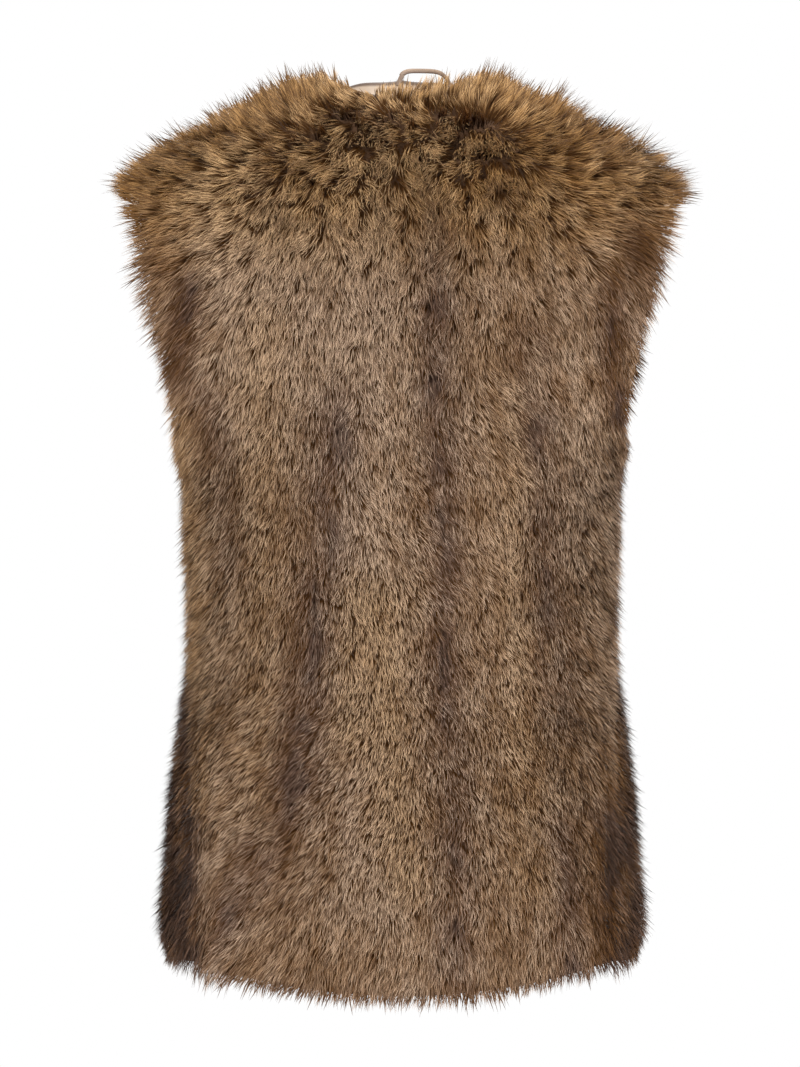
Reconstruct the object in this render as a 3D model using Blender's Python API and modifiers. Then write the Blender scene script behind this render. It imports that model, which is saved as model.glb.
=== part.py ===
"""Sleeveless, collarless faux fur vest, hollow and filled out as when it is worn.

Metres, +Z up. The fronts face -Y and the back faces +Y. The origin lies between the shoulders, level
with the middle of the shoulder seams and above the line through the side seams, where a wearer's
shoulders carry the vest.

Each fur panel is a closed wall. Its inner face is the cloth's, and its outer face is as far as the
pile reaches, so the wall is as thick as the fur is deep and thins out at the free edges.
"""

import math

import bmesh
import bpy
import numpy as np

# Driving sizes
VEST_NAME = "faux_fur_vest"
NECK_HALF_WIDTH = 0.056
NECK_DEPTH_BACK = 0.066
NECK_DEPTH_FRONT = 0.104
SHOULDER_TIP = 0.209
UNDERARM_HEIGHT = -0.226
ARMHOLE_REACH_BACK = 0.062
ARMHOLE_REACH_FRONT = 0.052
ARMHOLE_ROUNDNESS = 2.4
SQUARENESS = 2.4
SEAM_GAP = 0.0003
FRONT_GAP = 0.0010

# Each panel's hem, the height where its shoulder starts to round over, and how full that round is
PANEL_COLUMNS = ("hem_centre", "hem_side", "base", "fullness", "neck_depth", "armhole_reach", "facing")
PANEL_ROWS = {
    "back": (-0.638, -0.619, -0.110, 2.6, NECK_DEPTH_BACK, ARMHOLE_REACH_BACK, 1),
    "front": (-0.630, -0.619, -0.170, 1.9, NECK_DEPTH_FRONT, ARMHOLE_REACH_FRONT, -1),
}

# The cloth's inner side on a general figure, as half widths and depths from the side line
BODY_COLUMNS = ("height", "half_width", "back_depth", "front_depth", "seam_back", "pile")
BODY_ROWS = (
    (-0.640, 0.1700, 0.121, 0.112, 0.074, 0.0130),
    (-0.600, 0.1725, 0.119, 0.113, 0.071, 0.0135),
    (-0.547, 0.1690, 0.116, 0.112, 0.066, 0.0135),
    (-0.492, 0.1650, 0.111, 0.109, 0.057, 0.0135),
    (-0.454, 0.1595, 0.107, 0.107, 0.046, 0.0135),
    (-0.416, 0.1535, 0.103, 0.106, 0.030, 0.0130),
    (-0.364, 0.1520, 0.101, 0.109, 0.014, 0.0130),
    (-0.300, 0.1545, 0.100, 0.115, 0.006, 0.0130),
    (-0.256, 0.1560, 0.101, 0.117, 0.003, 0.0135),
    (-0.226, 0.1640, 0.101, 0.118, 0.002, 0.0140),
    (-0.200, 0.1765, 0.101, 0.117, 0.002, 0.0145),
    (-0.178, 0.1890, 0.101, 0.113, 0.002, 0.0150),
    (-0.150, 0.2040, 0.101, 0.107, 0.002, 0.0155),
    (-0.110, 0.2210, 0.100, 0.100, 0.002, 0.0165),
    (-0.040, 0.2210, 0.100, 0.100, 0.002, 0.0185),
    (0.020, 0.2210, 0.100, 0.100, 0.002, 0.0185),
)

# The crest of the shoulders, from the middle of the neck outwards
CREST_COLUMNS = ("across", "height")
CREST_ROWS = (
    (0.000, 0.050),
    (0.030, 0.041),
    (0.045, 0.034),
    (0.060, 0.031),
    (0.080, 0.025),
    (0.100, 0.017),
    (0.130, 0.004),
    (0.165, -0.014),
    (0.193, -0.034),
    (0.210, -0.050),
)

# How the pile thins out towards a free edge, and how deep it parts along the side seams
EDGE_ROUND = 0.018
EDGE_OVERHANG = 0.012
EDGE_TIP_SHARE = 0.40
EDGE_WALL = 0.0022
PARTING_SHARE = 0.30
PARTING_WIDTH = 0.010
PARTING_TOP = -0.400
PARTING_BOTTOM = -0.460

# The pile lies flatter along the nape, where the lining stands above it
NAPE_WIDTH = 0.026
NAPE_SHARE = 0.48

# Soft unevenness of the pile, as waves across and up the vest
RIPPLE_COLUMNS = ("share", "waves_across", "waves_up", "turn")
RIPPLE_ROWS = (
    (0.050, 13.0, 5.0, 0.4),
    (0.040, -8.0, 11.0, 1.9),
    (0.030, 5.0, 17.0, 3.3),
)

# Lining and hanger loop
LINING_WALL = 0.0012
LINING_GAP = 0.0009
LINING_HEM = 0.080
LINING_RISE = 0.009
LINING_LEAN = 0.0012
LINING_SEAM_INSET = 0.010
LINING_ARMHOLE_INSET = 0.050
LOOP_WIDTH = 0.0038
LOOP_WALL = 0.0011
LOOP_TURN_STEPS = 6

# The loop's middle line: across, and above the lining's top edge at that place
LOOP_COLUMNS = ("across", "above")
LOOP_ROWS = (
    (0.0035, -0.0040),
    (0.0025, -0.0015),
    (-0.0010, 0.0045),
    (-0.0065, 0.0074),
    (-0.0170, 0.0080),
    (-0.0275, 0.0072),
    (-0.0330, 0.0040),
    (-0.0355, 0.0006),
    (-0.0362, -0.0022),
)

# Step of the form's differences, and places along a panel's columns and rows
STEP = 1e-4
EDGE_STEPS = (0.0, 0.020, 0.045, 0.085)
HEM_STEPS = (0.0, 0.008, 0.018, 0.034, 0.060)
NECK_STEPS = (0.12, 0.07, 0.03, 0.0)
CORNER_STEPS = (0.03, 0.07)
BODY_INTERVALS = 14
ARMHOLE_INTERVALS = 7
SHOULDER_INTERVALS = 7
NECK_INTERVALS = 7
SIDE_INTERVALS = 6

COLOURS = {
    "fur": ((0.27, 0.17, 0.10, 1.0), 0.85),
    "satin": ((0.62, 0.47, 0.34, 1.0), 0.38),
    "ribbon": ((0.40, 0.29, 0.21, 1.0), 0.40),
}


def smooth_column(rows, columns, name, at):
    """Reads one column of a table at any value of its first column, by cubic curves."""
    table = np.array(rows)
    places = table[:, 0]
    values = table[:, columns.index(name)]
    slopes = np.gradient(values, places)
    at = np.asarray(at, float)
    low = np.clip(np.searchsorted(places, at) - 1, 0, len(places) - 2)
    span = places[low + 1] - places[low]
    part = np.clip((at - places[low]) / span, 0, 1)
    rest = 1 - part
    start = (1 + 2 * part) * rest**2 * values[low] + part * rest**2 * span * slopes[low]
    end = part**2 * (3 - 2 * part) * values[low + 1] - part**2 * rest * span * slopes[low + 1]
    return start + end


def body(name, height):
    """One size of the worn form at a height."""
    return smooth_column(BODY_ROWS, BODY_COLUMNS, name, height)


def panel_size(part, name):
    """One size of the back or the front panel."""
    return PANEL_ROWS[part][PANEL_COLUMNS.index(name)]


def ease(value, low, high):
    """Rises smoothly from 0 to 1 between two values."""
    part = np.clip((value - low) / (high - low), 0, 1)
    return part * part * (3 - 2 * part)


def ring(part, height, angle):
    """A section's point: angle 0 is the panel's centre line, and the sides are at a right angle."""
    facing = panel_size(part, "facing")
    across = np.sin(angle)
    along = np.cos(angle)
    behind = along * facing > 0
    depth = np.where(behind, body("back_depth", height), body("front_depth", height))
    half_width = body("half_width", height)
    powers = (np.abs(across) / half_width) ** SQUARENESS + (np.abs(along) / depth) ** SQUARENESS
    reach = powers ** (-1 / SQUARENESS)
    return reach * across, reach * along * facing


def edge_angle(part, height):
    """The angle from a panel's centre line to its side seam, or to its armhole above the underarm."""
    facing = panel_size(part, "facing")
    seam = body("seam_back", height) * facing
    top = panel_size(part, "base")
    down = np.clip((top - height) / (top - UNDERARM_HEIGHT), 0, 1)
    bow = (1 - down**ARMHOLE_ROUNDNESS) ** (1 / ARMHOLE_ROUNDNESS)
    out = seam + (panel_size(part, "armhole_reach") - seam) * bow
    depth = np.where(out * facing > 0, body("back_depth", height), body("front_depth", height))
    across = body("half_width", height) * (1 - (np.abs(out) / depth) ** SQUARENESS) ** (1 / SQUARENESS)
    return np.arctan2(across, out)


def crest(across):
    """Height of the shoulders' crest."""
    return smooth_column(CREST_ROWS, CREST_COLUMNS, "height", np.abs(across))


def form(part, angle, height, turned):
    """A point of the worn form: on the section at a height, then turned over the shoulder's crest."""
    base = panel_size(part, "base")
    x, y = ring(part, height, angle)
    fullness = panel_size(part, "fullness")
    rise = np.sin(turned)
    run = np.cos(turned)
    reach = (np.abs(rise) ** fullness + np.abs(run) ** fullness) ** (-1 / fullness)
    over_x = x + (shoulder_spread(part, x) - x) * ease(turned, 0, math.pi / 2)
    z = height + (crest(over_x) - base) * reach * rise
    return np.stack([over_x, y * reach * run, z], -1)


def panel_place(part, u, t):
    """The angle, height and turn of a place on a panel.

    u is 0 on the panel's centre line and 1 or -1 at its side seam or armhole. t is 0 at the hem, 1 where
    the shoulder starts to round over, and 2 at the shoulder seam and the neck's edge.
    """
    u, t = np.broadcast_arrays(np.asarray(u, float), np.asarray(t, float))
    base = panel_size(part, "base")
    hem_side = panel_size(part, "hem_side")
    hem = hem_side + (panel_size(part, "hem_centre") - hem_side) * (1 - np.minimum(u * u, 1))
    height = hem + (base - hem) * np.minimum(t, 1)
    angle = edge_angle(part, height) * u
    turned = np.maximum(t - 1, 0) * end_of_column(part, *ring(part, height, angle))
    return angle, height, turned


def surface(part, u, t):
    """A point of the cloth's inner side at a place on a panel."""
    return form(part, *panel_place(part, u, t))


def edge_half_width(part):
    """How far out the armhole's edge is where the shoulder starts to round over."""
    base = panel_size(part, "base")
    return float(ring(part, base, edge_angle(part, base))[0])


def shoulder_spread(part, x):
    """Where a column that starts at x on the shoulder's base ends on the shoulder seam."""
    out = np.maximum(np.abs(x) - NECK_HALF_WIDTH, 0)
    shoulder = edge_half_width(part) - NECK_HALF_WIDTH
    stretch = (SHOULDER_TIP - NECK_HALF_WIDTH) / shoulder - 1
    return x + np.sign(x) * out * stretch * out / shoulder


def end_of_column(part, x, y):
    """The turn at which a column stops: on the crest, or before it at the neck's edge."""
    fullness = panel_size(part, "fullness")
    inside = np.sqrt(np.clip(1 - (x / NECK_HALF_WIDTH) ** 2, 0, 1))
    share = np.clip(panel_size(part, "neck_depth") * inside / np.maximum(np.abs(y), 1e-6), 0, 1)
    level = (1 - share**fullness) ** (1 / fullness)
    return np.arctan2(level, share)


def directions(part, u, t):
    """Unit vectors across a panel, up it and out of its outer side."""
    angle, height, turned = panel_place(part, u, t)
    lift = np.where(turned > 0, 0, STEP)
    turn = np.where(turned > 0, STEP, 0)
    across = form(part, angle + STEP, height, turned) - form(part, angle - STEP, height, turned)
    up = form(part, angle, height + lift, turned + turn) - form(part, angle, height - lift, turned - turn)
    across /= np.linalg.norm(across, axis=-1, keepdims=True)
    up /= np.linalg.norm(up, axis=-1, keepdims=True)
    out = np.cross(across, up) * -panel_size(part, "facing")
    out /= np.linalg.norm(out, axis=-1, keepdims=True)
    return across, up, out


def column_at(part, across):
    """The u of the column that is this far from the centre line where the shoulder starts to round."""
    base = panel_size(part, "base")
    places = np.linspace(-1, 1, 4001)
    return np.interp(across, ring(part, base, edge_angle(part, base) * places)[0], places)


def neck_column(part):
    """The u of the column that ends at the corner between neck and shoulder seam."""
    return float(column_at(part, NECK_HALF_WIDTH))


def underarm_row(part):
    """The t of the underarm on a panel's side edge."""
    hem = panel_size(part, "hem_side")
    return (UNDERARM_HEIGHT - hem) / (panel_size(part, "base") - hem)


def free_edges(part, open_centre):
    """Points along the edges where the pile ends: hem, armholes, neck and, on a front, its centre."""
    places = np.linspace(-1, 1, 121)
    neck = neck_column(part)
    arm = np.linspace(underarm_row(part), 2, 81)
    lines = [
        surface(part, places, 0.0),
        surface(part, 1.0, arm),
        surface(part, -1.0, arm),
        surface(part, places * neck, 2.0),
    ]
    if open_centre:
        lines.append(surface(part, 0.0, np.linspace(0, 2, 121)))
    return np.concatenate(lines)


def nearest(points, lines):
    """The distance from each point to the nearest of the lines' points."""
    apart = np.linalg.norm(points[..., None, :] - lines, axis=-1)
    return apart.min(-1)


def pile_depth(part, points):
    """How far the pile reaches out of the cloth, away from the free edges."""
    height = points[..., 2]
    depth = body("pile", height)
    for row in RIPPLE_ROWS:
        ripple = dict(zip(RIPPLE_COLUMNS, row))
        waves = ripple["waves_across"] * points[..., 0] + ripple["waves_up"] * height
        depth = depth * (1 + ripple["share"] * np.sin(math.tau * waves + ripple["turn"]))
    seam_line = surface(part, 1.0, np.linspace(0, underarm_row(part), 121))
    mirrored = np.abs(points) * (1, 0, 0) + points * (0, 1, 1)
    seam = np.exp(-((nearest(mirrored, seam_line) / PARTING_WIDTH) ** 2))
    lower = ease(height, PARTING_TOP, PARTING_BOTTOM)
    nape = surface("back", np.linspace(-1, 1, 61) * neck_column("back"), 2.0)
    inside = np.clip(1 - (points[..., 0] / NECK_HALF_WIDTH) ** 4, 0, 1)
    flat = np.exp(-((nearest(points, nape) / NAPE_WIDTH) ** 2)) * inside
    return depth * (1 - PARTING_SHARE * seam * lower) * (1 - NAPE_SHARE * flat)


def wall(part, u, t, open_centre):
    """The inner and outer points of a fur panel's wall."""
    points = surface(part, u, t)
    out = directions(part, u, t)[2]
    edge = nearest(points, free_edges(part, open_centre))
    depth = pile_depth(part, points)
    tip = EDGE_TIP_SHARE * depth
    rounding = np.sqrt(1 - (1 - np.clip(edge / EDGE_ROUND, 0, 1)) ** 2)
    lift = (tip - EDGE_WALL) * (1 - np.clip(edge / EDGE_OVERHANG, 0, 1)) ** 1.5
    outer = tip + (depth - tip) * rounding
    return points + out * lift[..., None], points + out * outer[..., None]


def apart_at_seams(part, points, u, t, side):
    """Moves a panel back from its neighbours by half the gap at its side seams, shoulders and centre."""
    across = directions(part, u, t)[0]
    at_side = (np.abs(u) > 1 - 1e-9)[..., None] * np.sign(u)[..., None]
    moved = points - across * at_side * SEAM_GAP / 2
    moved[..., 1] += panel_size(part, "facing") * SEAM_GAP / 2
    moved[..., 0] += side * FRONT_GAP / 2 * (1 - np.abs(u))
    return moved


def closed_wall(name, inner, outer, colour):
    """Makes one closed body from the inner and outer points of a grid."""
    rows, columns = inner.shape[:2]
    mesh = bpy.data.meshes.new(name)
    bm = bmesh.new()
    inside = [[bm.verts.new(inner[i, j]) for j in range(columns)] for i in range(rows)]
    outside = [[bm.verts.new(outer[i, j]) for j in range(columns)] for i in range(rows)]
    for i in range(rows - 1):
        for j in range(columns - 1):
            for side in (inside, outside):
                bm.faces.new((side[i][j], side[i][j + 1], side[i + 1][j + 1], side[i + 1][j]))
    for i in range(rows - 1):
        for j in (0, columns - 1):
            bm.faces.new((inside[i][j], inside[i + 1][j], outside[i + 1][j], outside[i][j]))
    for j in range(columns - 1):
        for i in (0, rows - 1):
            bm.faces.new((inside[i][j], inside[i][j + 1], outside[i][j + 1], outside[i][j]))
    bmesh.ops.recalc_face_normals(bm, faces=bm.faces)
    bm.to_mesh(mesh)
    bm.free()
    return finished(name, mesh, colour)


def finished(name, mesh, colour):
    """Adds a smooth-shaded object in the vest's collection, with its own material."""
    tint, roughness = COLOURS[colour]
    material = bpy.data.materials.new(name + "_" + colour)
    material.use_nodes = True
    shader = material.node_tree.nodes["Principled BSDF"]
    shader.inputs["Base Color"].default_value = tint
    shader.inputs["Roughness"].default_value = roughness
    shader.inputs["Metallic"].default_value = 0.0
    mesh.materials.append(material)
    mesh.shade_smooth()
    piece = bpy.data.objects.new(name, mesh)
    bpy.data.collections[VEST_NAME].objects.link(piece)
    return piece


def row_places(part):
    """The t of each row of a fur panel, from the hem to the shoulder."""
    underarm = underarm_row(part)
    hem = list(HEM_STEPS)
    low = np.linspace(hem[-1], underarm, BODY_INTERVALS + 1)[1:]
    turns = np.linspace(math.pi / 2, 0, ARMHOLE_INTERVALS + 1)[1:]
    armhole = 1 - (1 - underarm) * np.sin(turns)
    shoulder = np.linspace(1, 2 - NECK_STEPS[0], SHOULDER_INTERVALS + 1)[1:]
    neck = [2 - step for step in NECK_STEPS[1:]]
    return np.array([*hem, *low, *armhole, *shoulder, *neck])


def half_columns(part, open_centre):
    """The u of each column from a panel's centre line to its side."""
    start = list(EDGE_STEPS) if open_centre else [0.0]
    around = np.linspace(0, math.pi / 2, NECK_INTERVALS + 1)
    neck = column_at(part, NECK_HALF_WIDTH * np.sin(around))
    inside = neck[neck > start[-1] + EDGE_STEPS[1]]
    near_neck = neck[-1] + np.array(CORNER_STEPS)
    outside = np.linspace(near_neck[-1], 1 - EDGE_STEPS[-1], SIDE_INTERVALS + 1)[1:]
    edge = [1 - step for step in reversed(EDGE_STEPS[:-1])]
    return np.array([*start, *inside, *near_neck, *outside, *edge])


def make_back():
    half = half_columns("back", False)
    u, t = np.meshgrid(np.concatenate([-half[:0:-1], half]), row_places("back"))
    walls = wall("back", u, t, False)
    inner, outer = (apart_at_seams("back", face, u, t, 0) for face in walls)
    return closed_wall("back", inner, outer, "fur")


def make_front(name, side):
    """side is 1 for the wearer's left front, at +X, and -1 for the right front."""
    u, t = np.meshgrid(half_columns("front", True) * side, row_places("front"))
    walls = wall("front", u, t, True)
    inner, outer = (apart_at_seams("front", face, u, t, side) for face in walls)
    return closed_wall(name, inner, outer, "fur")


def lining_stand(u):
    """How far up its stand at the back of the neck the lining's top edge is, as a share of the most."""
    return np.clip(1 - np.abs(u / neck_column("back")) ** 3, 0, 1)


def lining_side(t):
    """The u of the lining's side edge: at the side seam, and short of the armhole's edge above it."""
    underarm = underarm_row("back")
    return 1 - LINING_ARMHOLE_INSET * ease(t, underarm - 0.05, underarm + 0.01)


def lining_faces(u, t):
    """The lining's two faces behind the back panel's inner side, and the way out."""
    points = surface("back", u, t)
    out = directions("back", u, t)[2]
    points[..., 1] += SEAM_GAP / 2
    near = points - out * LINING_GAP
    return near - out * LINING_WALL, near, out


def lining_edge(u):
    """The two faces' top edge, which stands straight up above the fur's edge behind the neck."""
    stand = lining_stand(u)[..., None]
    inner, outer, out = lining_faces(u, 2 - LINING_SEAM_INSET * (1 - stand[..., 0]))
    level = out * (1, 1, 0)
    level /= np.linalg.norm(level, axis=-1, keepdims=True)
    moved = np.array((0, 0, LINING_RISE)) * stand - level * LINING_LEAN * stand
    return inner + moved, outer + moved, level


def make_back_lining():
    """Lies behind the back panel's own rows and columns, so that their flat faces run side by side."""
    half = half_columns("back", False)
    half = np.concatenate([half[:-3], half[-1:]])
    rows = row_places("back")
    u, t = np.meshgrid(np.concatenate([-half[:0:-1], half]), rows[rows > LINING_HEM])
    u[:, 0] = -lining_side(t[:, 0])
    u[:, -1] = lining_side(t[:, -1])
    inner, outer = lining_faces(u, t)[:2]
    inner[-1], outer[-1] = lining_edge(u[-1])[:2]
    return closed_wall("back_lining", inner, outer, "satin")


def loop_points():
    """The middle of the hanger loop's ribbon, which stands on the lining's outer face, and the way out."""
    rows = np.array(LOOP_ROWS)
    table = np.column_stack([np.arange(len(rows)), rows])
    names = ("order",) + LOOP_COLUMNS
    places = np.linspace(0, len(rows) - 1, (len(rows) - 1) * LOOP_TURN_STEPS + 1)
    across = smooth_column(table, names, "across", places)
    above = smooth_column(table, names, "above", places)
    u = column_at("back", across)
    edge, level = lining_edge(u)[1:]
    below = edge - lining_faces(u, 2 - NECK_STEPS[-2])[1]
    below /= np.linalg.norm(below, axis=-1, keepdims=True)
    up = np.where(above[:, None] < 0, below, (0, 0, 1))
    out = level * below[:, 2:] - (0, 0, 1) * (level * below).sum(-1, keepdims=True)
    return edge + up * above[:, None] + out * (SEAM_GAP + LOOP_WALL / 2), out


def make_hanger_loop():
    """A flat ribbon: an open strip along the loop, with its thickness from Solidify."""
    points, out = loop_points()
    way = np.gradient(points, axis=0)
    way /= np.linalg.norm(way, axis=-1, keepdims=True)
    width = np.cross(way, out)
    width /= np.linalg.norm(width, axis=-1, keepdims=True)
    mesh = bpy.data.meshes.new("hanger_loop")
    bm = bmesh.new()
    low = [bm.verts.new(place) for place in points - width * LOOP_WIDTH / 2]
    high = [bm.verts.new(place) for place in points + width * LOOP_WIDTH / 2]
    for i in range(len(points) - 1):
        bm.faces.new((low[i], low[i + 1], high[i + 1], high[i]))
    bm.to_mesh(mesh)
    bm.free()
    piece = finished("hanger_loop", mesh, "ribbon")
    thickness = piece.modifiers.new("ribbon_wall", "SOLIDIFY")
    thickness.thickness = LOOP_WALL
    thickness.offset = 0
    return piece


def main():
    for thing in list(bpy.data.objects):
        bpy.data.objects.remove(thing, do_unlink=True)
    vest = bpy.data.collections.new(VEST_NAME)
    bpy.context.scene.collection.children.link(vest)
    make_back()
    make_front("left_front", 1)
    make_front("right_front", -1)
    make_back_lining()
    make_hanger_loop()


main()
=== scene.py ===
"""Dresses the faux fur vest: fur cloth, its pile, satin lining, ribbon loop, and the photograph's view."""

import math

import bmesh
import bpy
import numpy as np
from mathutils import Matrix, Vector


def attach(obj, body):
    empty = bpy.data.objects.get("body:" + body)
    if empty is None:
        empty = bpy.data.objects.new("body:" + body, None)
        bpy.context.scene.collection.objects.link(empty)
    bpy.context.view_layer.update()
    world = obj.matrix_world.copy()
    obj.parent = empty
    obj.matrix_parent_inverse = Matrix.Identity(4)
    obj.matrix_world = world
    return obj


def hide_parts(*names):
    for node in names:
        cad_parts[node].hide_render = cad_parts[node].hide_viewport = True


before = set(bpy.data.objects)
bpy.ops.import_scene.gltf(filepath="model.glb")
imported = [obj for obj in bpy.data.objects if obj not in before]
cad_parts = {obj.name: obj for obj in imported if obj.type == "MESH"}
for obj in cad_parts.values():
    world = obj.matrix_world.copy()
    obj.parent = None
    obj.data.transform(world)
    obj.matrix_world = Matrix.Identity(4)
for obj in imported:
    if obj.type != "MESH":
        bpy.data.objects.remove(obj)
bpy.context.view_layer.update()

# Cut of the vest, as in the part's source, in metres
NECK_HALF_WIDTH = 0.056
NECK_DEPTH_BACK = 0.066
NECK_DEPTH_FRONT = 0.104
SHOULDER_TIP = 0.209
UNDERARM_HEIGHT = -0.226
ARMHOLE_REACH_BACK = 0.062
ARMHOLE_REACH_FRONT = 0.052
ARMHOLE_ROUNDNESS = 2.4
SQUARENESS = 2.4
SEAM_GAP = 0.0003
FRONT_GAP = 0.0010

# Over how much the form's directions are measured, what counts as being on a panel's edge, the least
# depth that is divided by, and at how many points a column is looked up
STEP = 1e-4
EDGE_SLACK = 1e-9
LEAST_DEPTH = 1e-6
COLUMN_POINTS = 4001

PANEL_COLUMNS = ("hem_centre", "hem_side", "base", "fullness", "neck_depth", "armhole_reach", "facing")
PANEL_ROWS = {
    "back": (-0.638, -0.619, -0.110, 2.6, NECK_DEPTH_BACK, ARMHOLE_REACH_BACK, 1),
    "front": (-0.630, -0.619, -0.170, 1.9, NECK_DEPTH_FRONT, ARMHOLE_REACH_FRONT, -1),
}

BODY_COLUMNS = ("height", "half_width", "back_depth", "front_depth", "seam_back", "pile")
BODY_ROWS = (
    (-0.640, 0.1700, 0.121, 0.112, 0.074, 0.0130),
    (-0.600, 0.1725, 0.119, 0.113, 0.071, 0.0135),
    (-0.547, 0.1690, 0.116, 0.112, 0.066, 0.0135),
    (-0.492, 0.1650, 0.111, 0.109, 0.057, 0.0135),
    (-0.454, 0.1595, 0.107, 0.107, 0.046, 0.0135),
    (-0.416, 0.1535, 0.103, 0.106, 0.030, 0.0130),
    (-0.364, 0.1520, 0.101, 0.109, 0.014, 0.0130),
    (-0.300, 0.1545, 0.100, 0.115, 0.006, 0.0130),
    (-0.256, 0.1560, 0.101, 0.117, 0.003, 0.0135),
    (-0.226, 0.1640, 0.101, 0.118, 0.002, 0.0140),
    (-0.200, 0.1765, 0.101, 0.117, 0.002, 0.0145),
    (-0.178, 0.1890, 0.101, 0.113, 0.002, 0.0150),
    (-0.150, 0.2040, 0.101, 0.107, 0.002, 0.0155),
    (-0.110, 0.2210, 0.100, 0.100, 0.002, 0.0165),
    (-0.040, 0.2210, 0.100, 0.100, 0.002, 0.0185),
    (0.020, 0.2210, 0.100, 0.100, 0.002, 0.0185),
)

CREST_COLUMNS = ("across", "height")
CREST_ROWS = (
    (0.000, 0.050),
    (0.030, 0.041),
    (0.045, 0.034),
    (0.060, 0.031),
    (0.080, 0.025),
    (0.100, 0.017),
    (0.130, 0.004),
    (0.165, -0.014),
    (0.193, -0.034),
    (0.210, -0.050),
)

# The pile lies flatter along the nape
NAPE_POINTS = 61
NAPE_WIDTH = 0.026
NAPE_SHARE = 0.48

# Fur cloth: its own thickness, the gap at its seams, and how far its edges stay inside the pile's reach
CLOTH_NEAR = 0.0003
CLOTH_FAR = 0.0022
CLOTH_GAP = 0.00005
HEM_INSET = 0.004
ARMHOLE_INSET = 0.015
ARMHOLE_INSET_ROWS = (-0.07, 0.03)
NECK_INSET = 0.045
CENTRE_INSET = 0.002
BODY_ROWS_OF_CLOTH = 66
SHOULDER_ROWS_OF_CLOTH = 24
COLUMNS_OF_HALF = 34

# The lie of the pile seen from behind: across and height in metres, and degrees turned from straight
# down towards the wearer's right
LIE_COLUMNS = ("across", "height", "turn")
LIE_ROWS = (
    (0.061, 0.032, -172),
    (0.088, 0.017, -135),
    (0.125, 0.006, -118),
    (0.165, -0.012, -106),
    (0.205, -0.033, -95),
    (0.195, -0.060, -84),
    (0.161, -0.041, -90),
    (0.185, -0.080, -62),
    (0.193, -0.100, -45),
    (0.142, -0.055, -72),
    (0.121, -0.030, -100),
    (0.110, -0.055, -15),
    (0.099, -0.012, -118),
    (0.072, -0.012, -78),
    (0.060, -0.028, -28),
    (0.074, 0.006, -165),
    (0.080, -0.034, -6),
    (0.044, -0.014, 30),
    (0.022, -0.035, 20),
    (0.052, -0.068, 4),
    (0.146, -0.086, -45),
    (0.164, -0.112, -42),
    (0.182, -0.140, -35),
    (0.135, -0.126, -22),
    (0.158, -0.182, -26),
    (0.120, -0.190, -8),
    (0.074, -0.135, 0),
    (0.074, -0.240, -3),
    (0.132, -0.265, -8),
    (0.012, -0.100, 0),
    (0.012, -0.190, 2),
    (0.034, -0.320, 0),
    (-0.002, -0.283, 28),
    (-0.020, -0.327, 33),
    (-0.030, -0.240, 8),
    (-0.049, -0.131, 3),
    (-0.078, -0.225, 31),
    (-0.098, -0.190, 26),
    (-0.122, -0.230, -14),
    (-0.126, -0.300, -8),
    (-0.146, -0.240, -16),
    (-0.143, -0.102, 30),
    (-0.163, -0.146, 4),
    (-0.180, -0.120, 8),
    (-0.152, -0.195, 2),
    (-0.114, -0.075, 36),
    (-0.184, -0.084, 45),
    (-0.190, -0.060, 65),
    (-0.143, -0.052, 66),
    (-0.116, -0.040, 78),
    (-0.093, -0.055, 20),
    (-0.071, -0.066, 0),
    (-0.146, -0.022, 88),
    (-0.114, 0.000, 105),
    (-0.085, 0.014, 122),
    (-0.067, 0.028, 152),
    (-0.200, -0.033, 95),
    (-0.035, -0.044, -15),
    (-0.028, -0.006, -55),
    (-0.058, -0.010, -50),
    (-0.013, 0.026, 148),
    (-0.042, 0.028, 135),
    (0.038, 0.022, -112),
    (0.022, -0.392, 0),
    (0.045, -0.446, -32),
    (0.070, -0.493, -40),
    (0.096, -0.450, -32),
    (0.139, -0.421, -14),
    (0.132, -0.375, -4),
    (0.117, -0.540, -43),
    (0.150, -0.575, -48),
    (0.085, -0.590, -30),
    (0.041, -0.515, -20),
    (0.009, -0.560, -5),
    (0.045, -0.625, -8),
    (-0.020, -0.406, 25),
    (-0.017, -0.460, 8),
    (-0.049, -0.385, 5),
    (-0.075, -0.446, 7),
    (-0.111, -0.421, 0),
    (-0.136, -0.471, -3),
    (-0.122, -0.540, 5),
    (-0.136, -0.592, -12),
    (-0.162, -0.604, 36),
    (-0.049, -0.591, 0),
)
LIE_WIDTH = 0.022

# The same for the left front; the right front mirrors it
FRONT_LIE_ROWS = (
    (0.070, 0.030, -55),
    (0.120, 0.006, -80),
    (0.165, -0.012, -95),
    (0.205, -0.033, -95),
    (0.190, -0.070, -75),
    (0.185, -0.110, -45),
    (0.170, -0.160, -32),
    (0.130, -0.050, -45),
    (0.090, -0.030, -25),
    (0.060, -0.060, -12),
    (0.100, -0.110, -15),
    (0.030, -0.120, -4),
    (0.120, -0.220, -14),
    (0.040, -0.240, 0),
    (0.150, -0.340, -4),
    (0.080, -0.380, -8),
    (0.030, -0.430, 3),
    (0.140, -0.500, -14),
    (0.070, -0.560, -6),
    (0.030, -0.600, 0),
)

# The lie as seen: how far the hairs stand off the cloth for it in degrees, the least share of the view
# that a cloth faces, how much of its slant is made up for, and where that starts and is complete
VISIBLE_LEAN = 24
LEAST_FACING = 0.01
MOST_CORRECTION = 0.35
FACING_RANGE = (0.35, 0.90)

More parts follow.
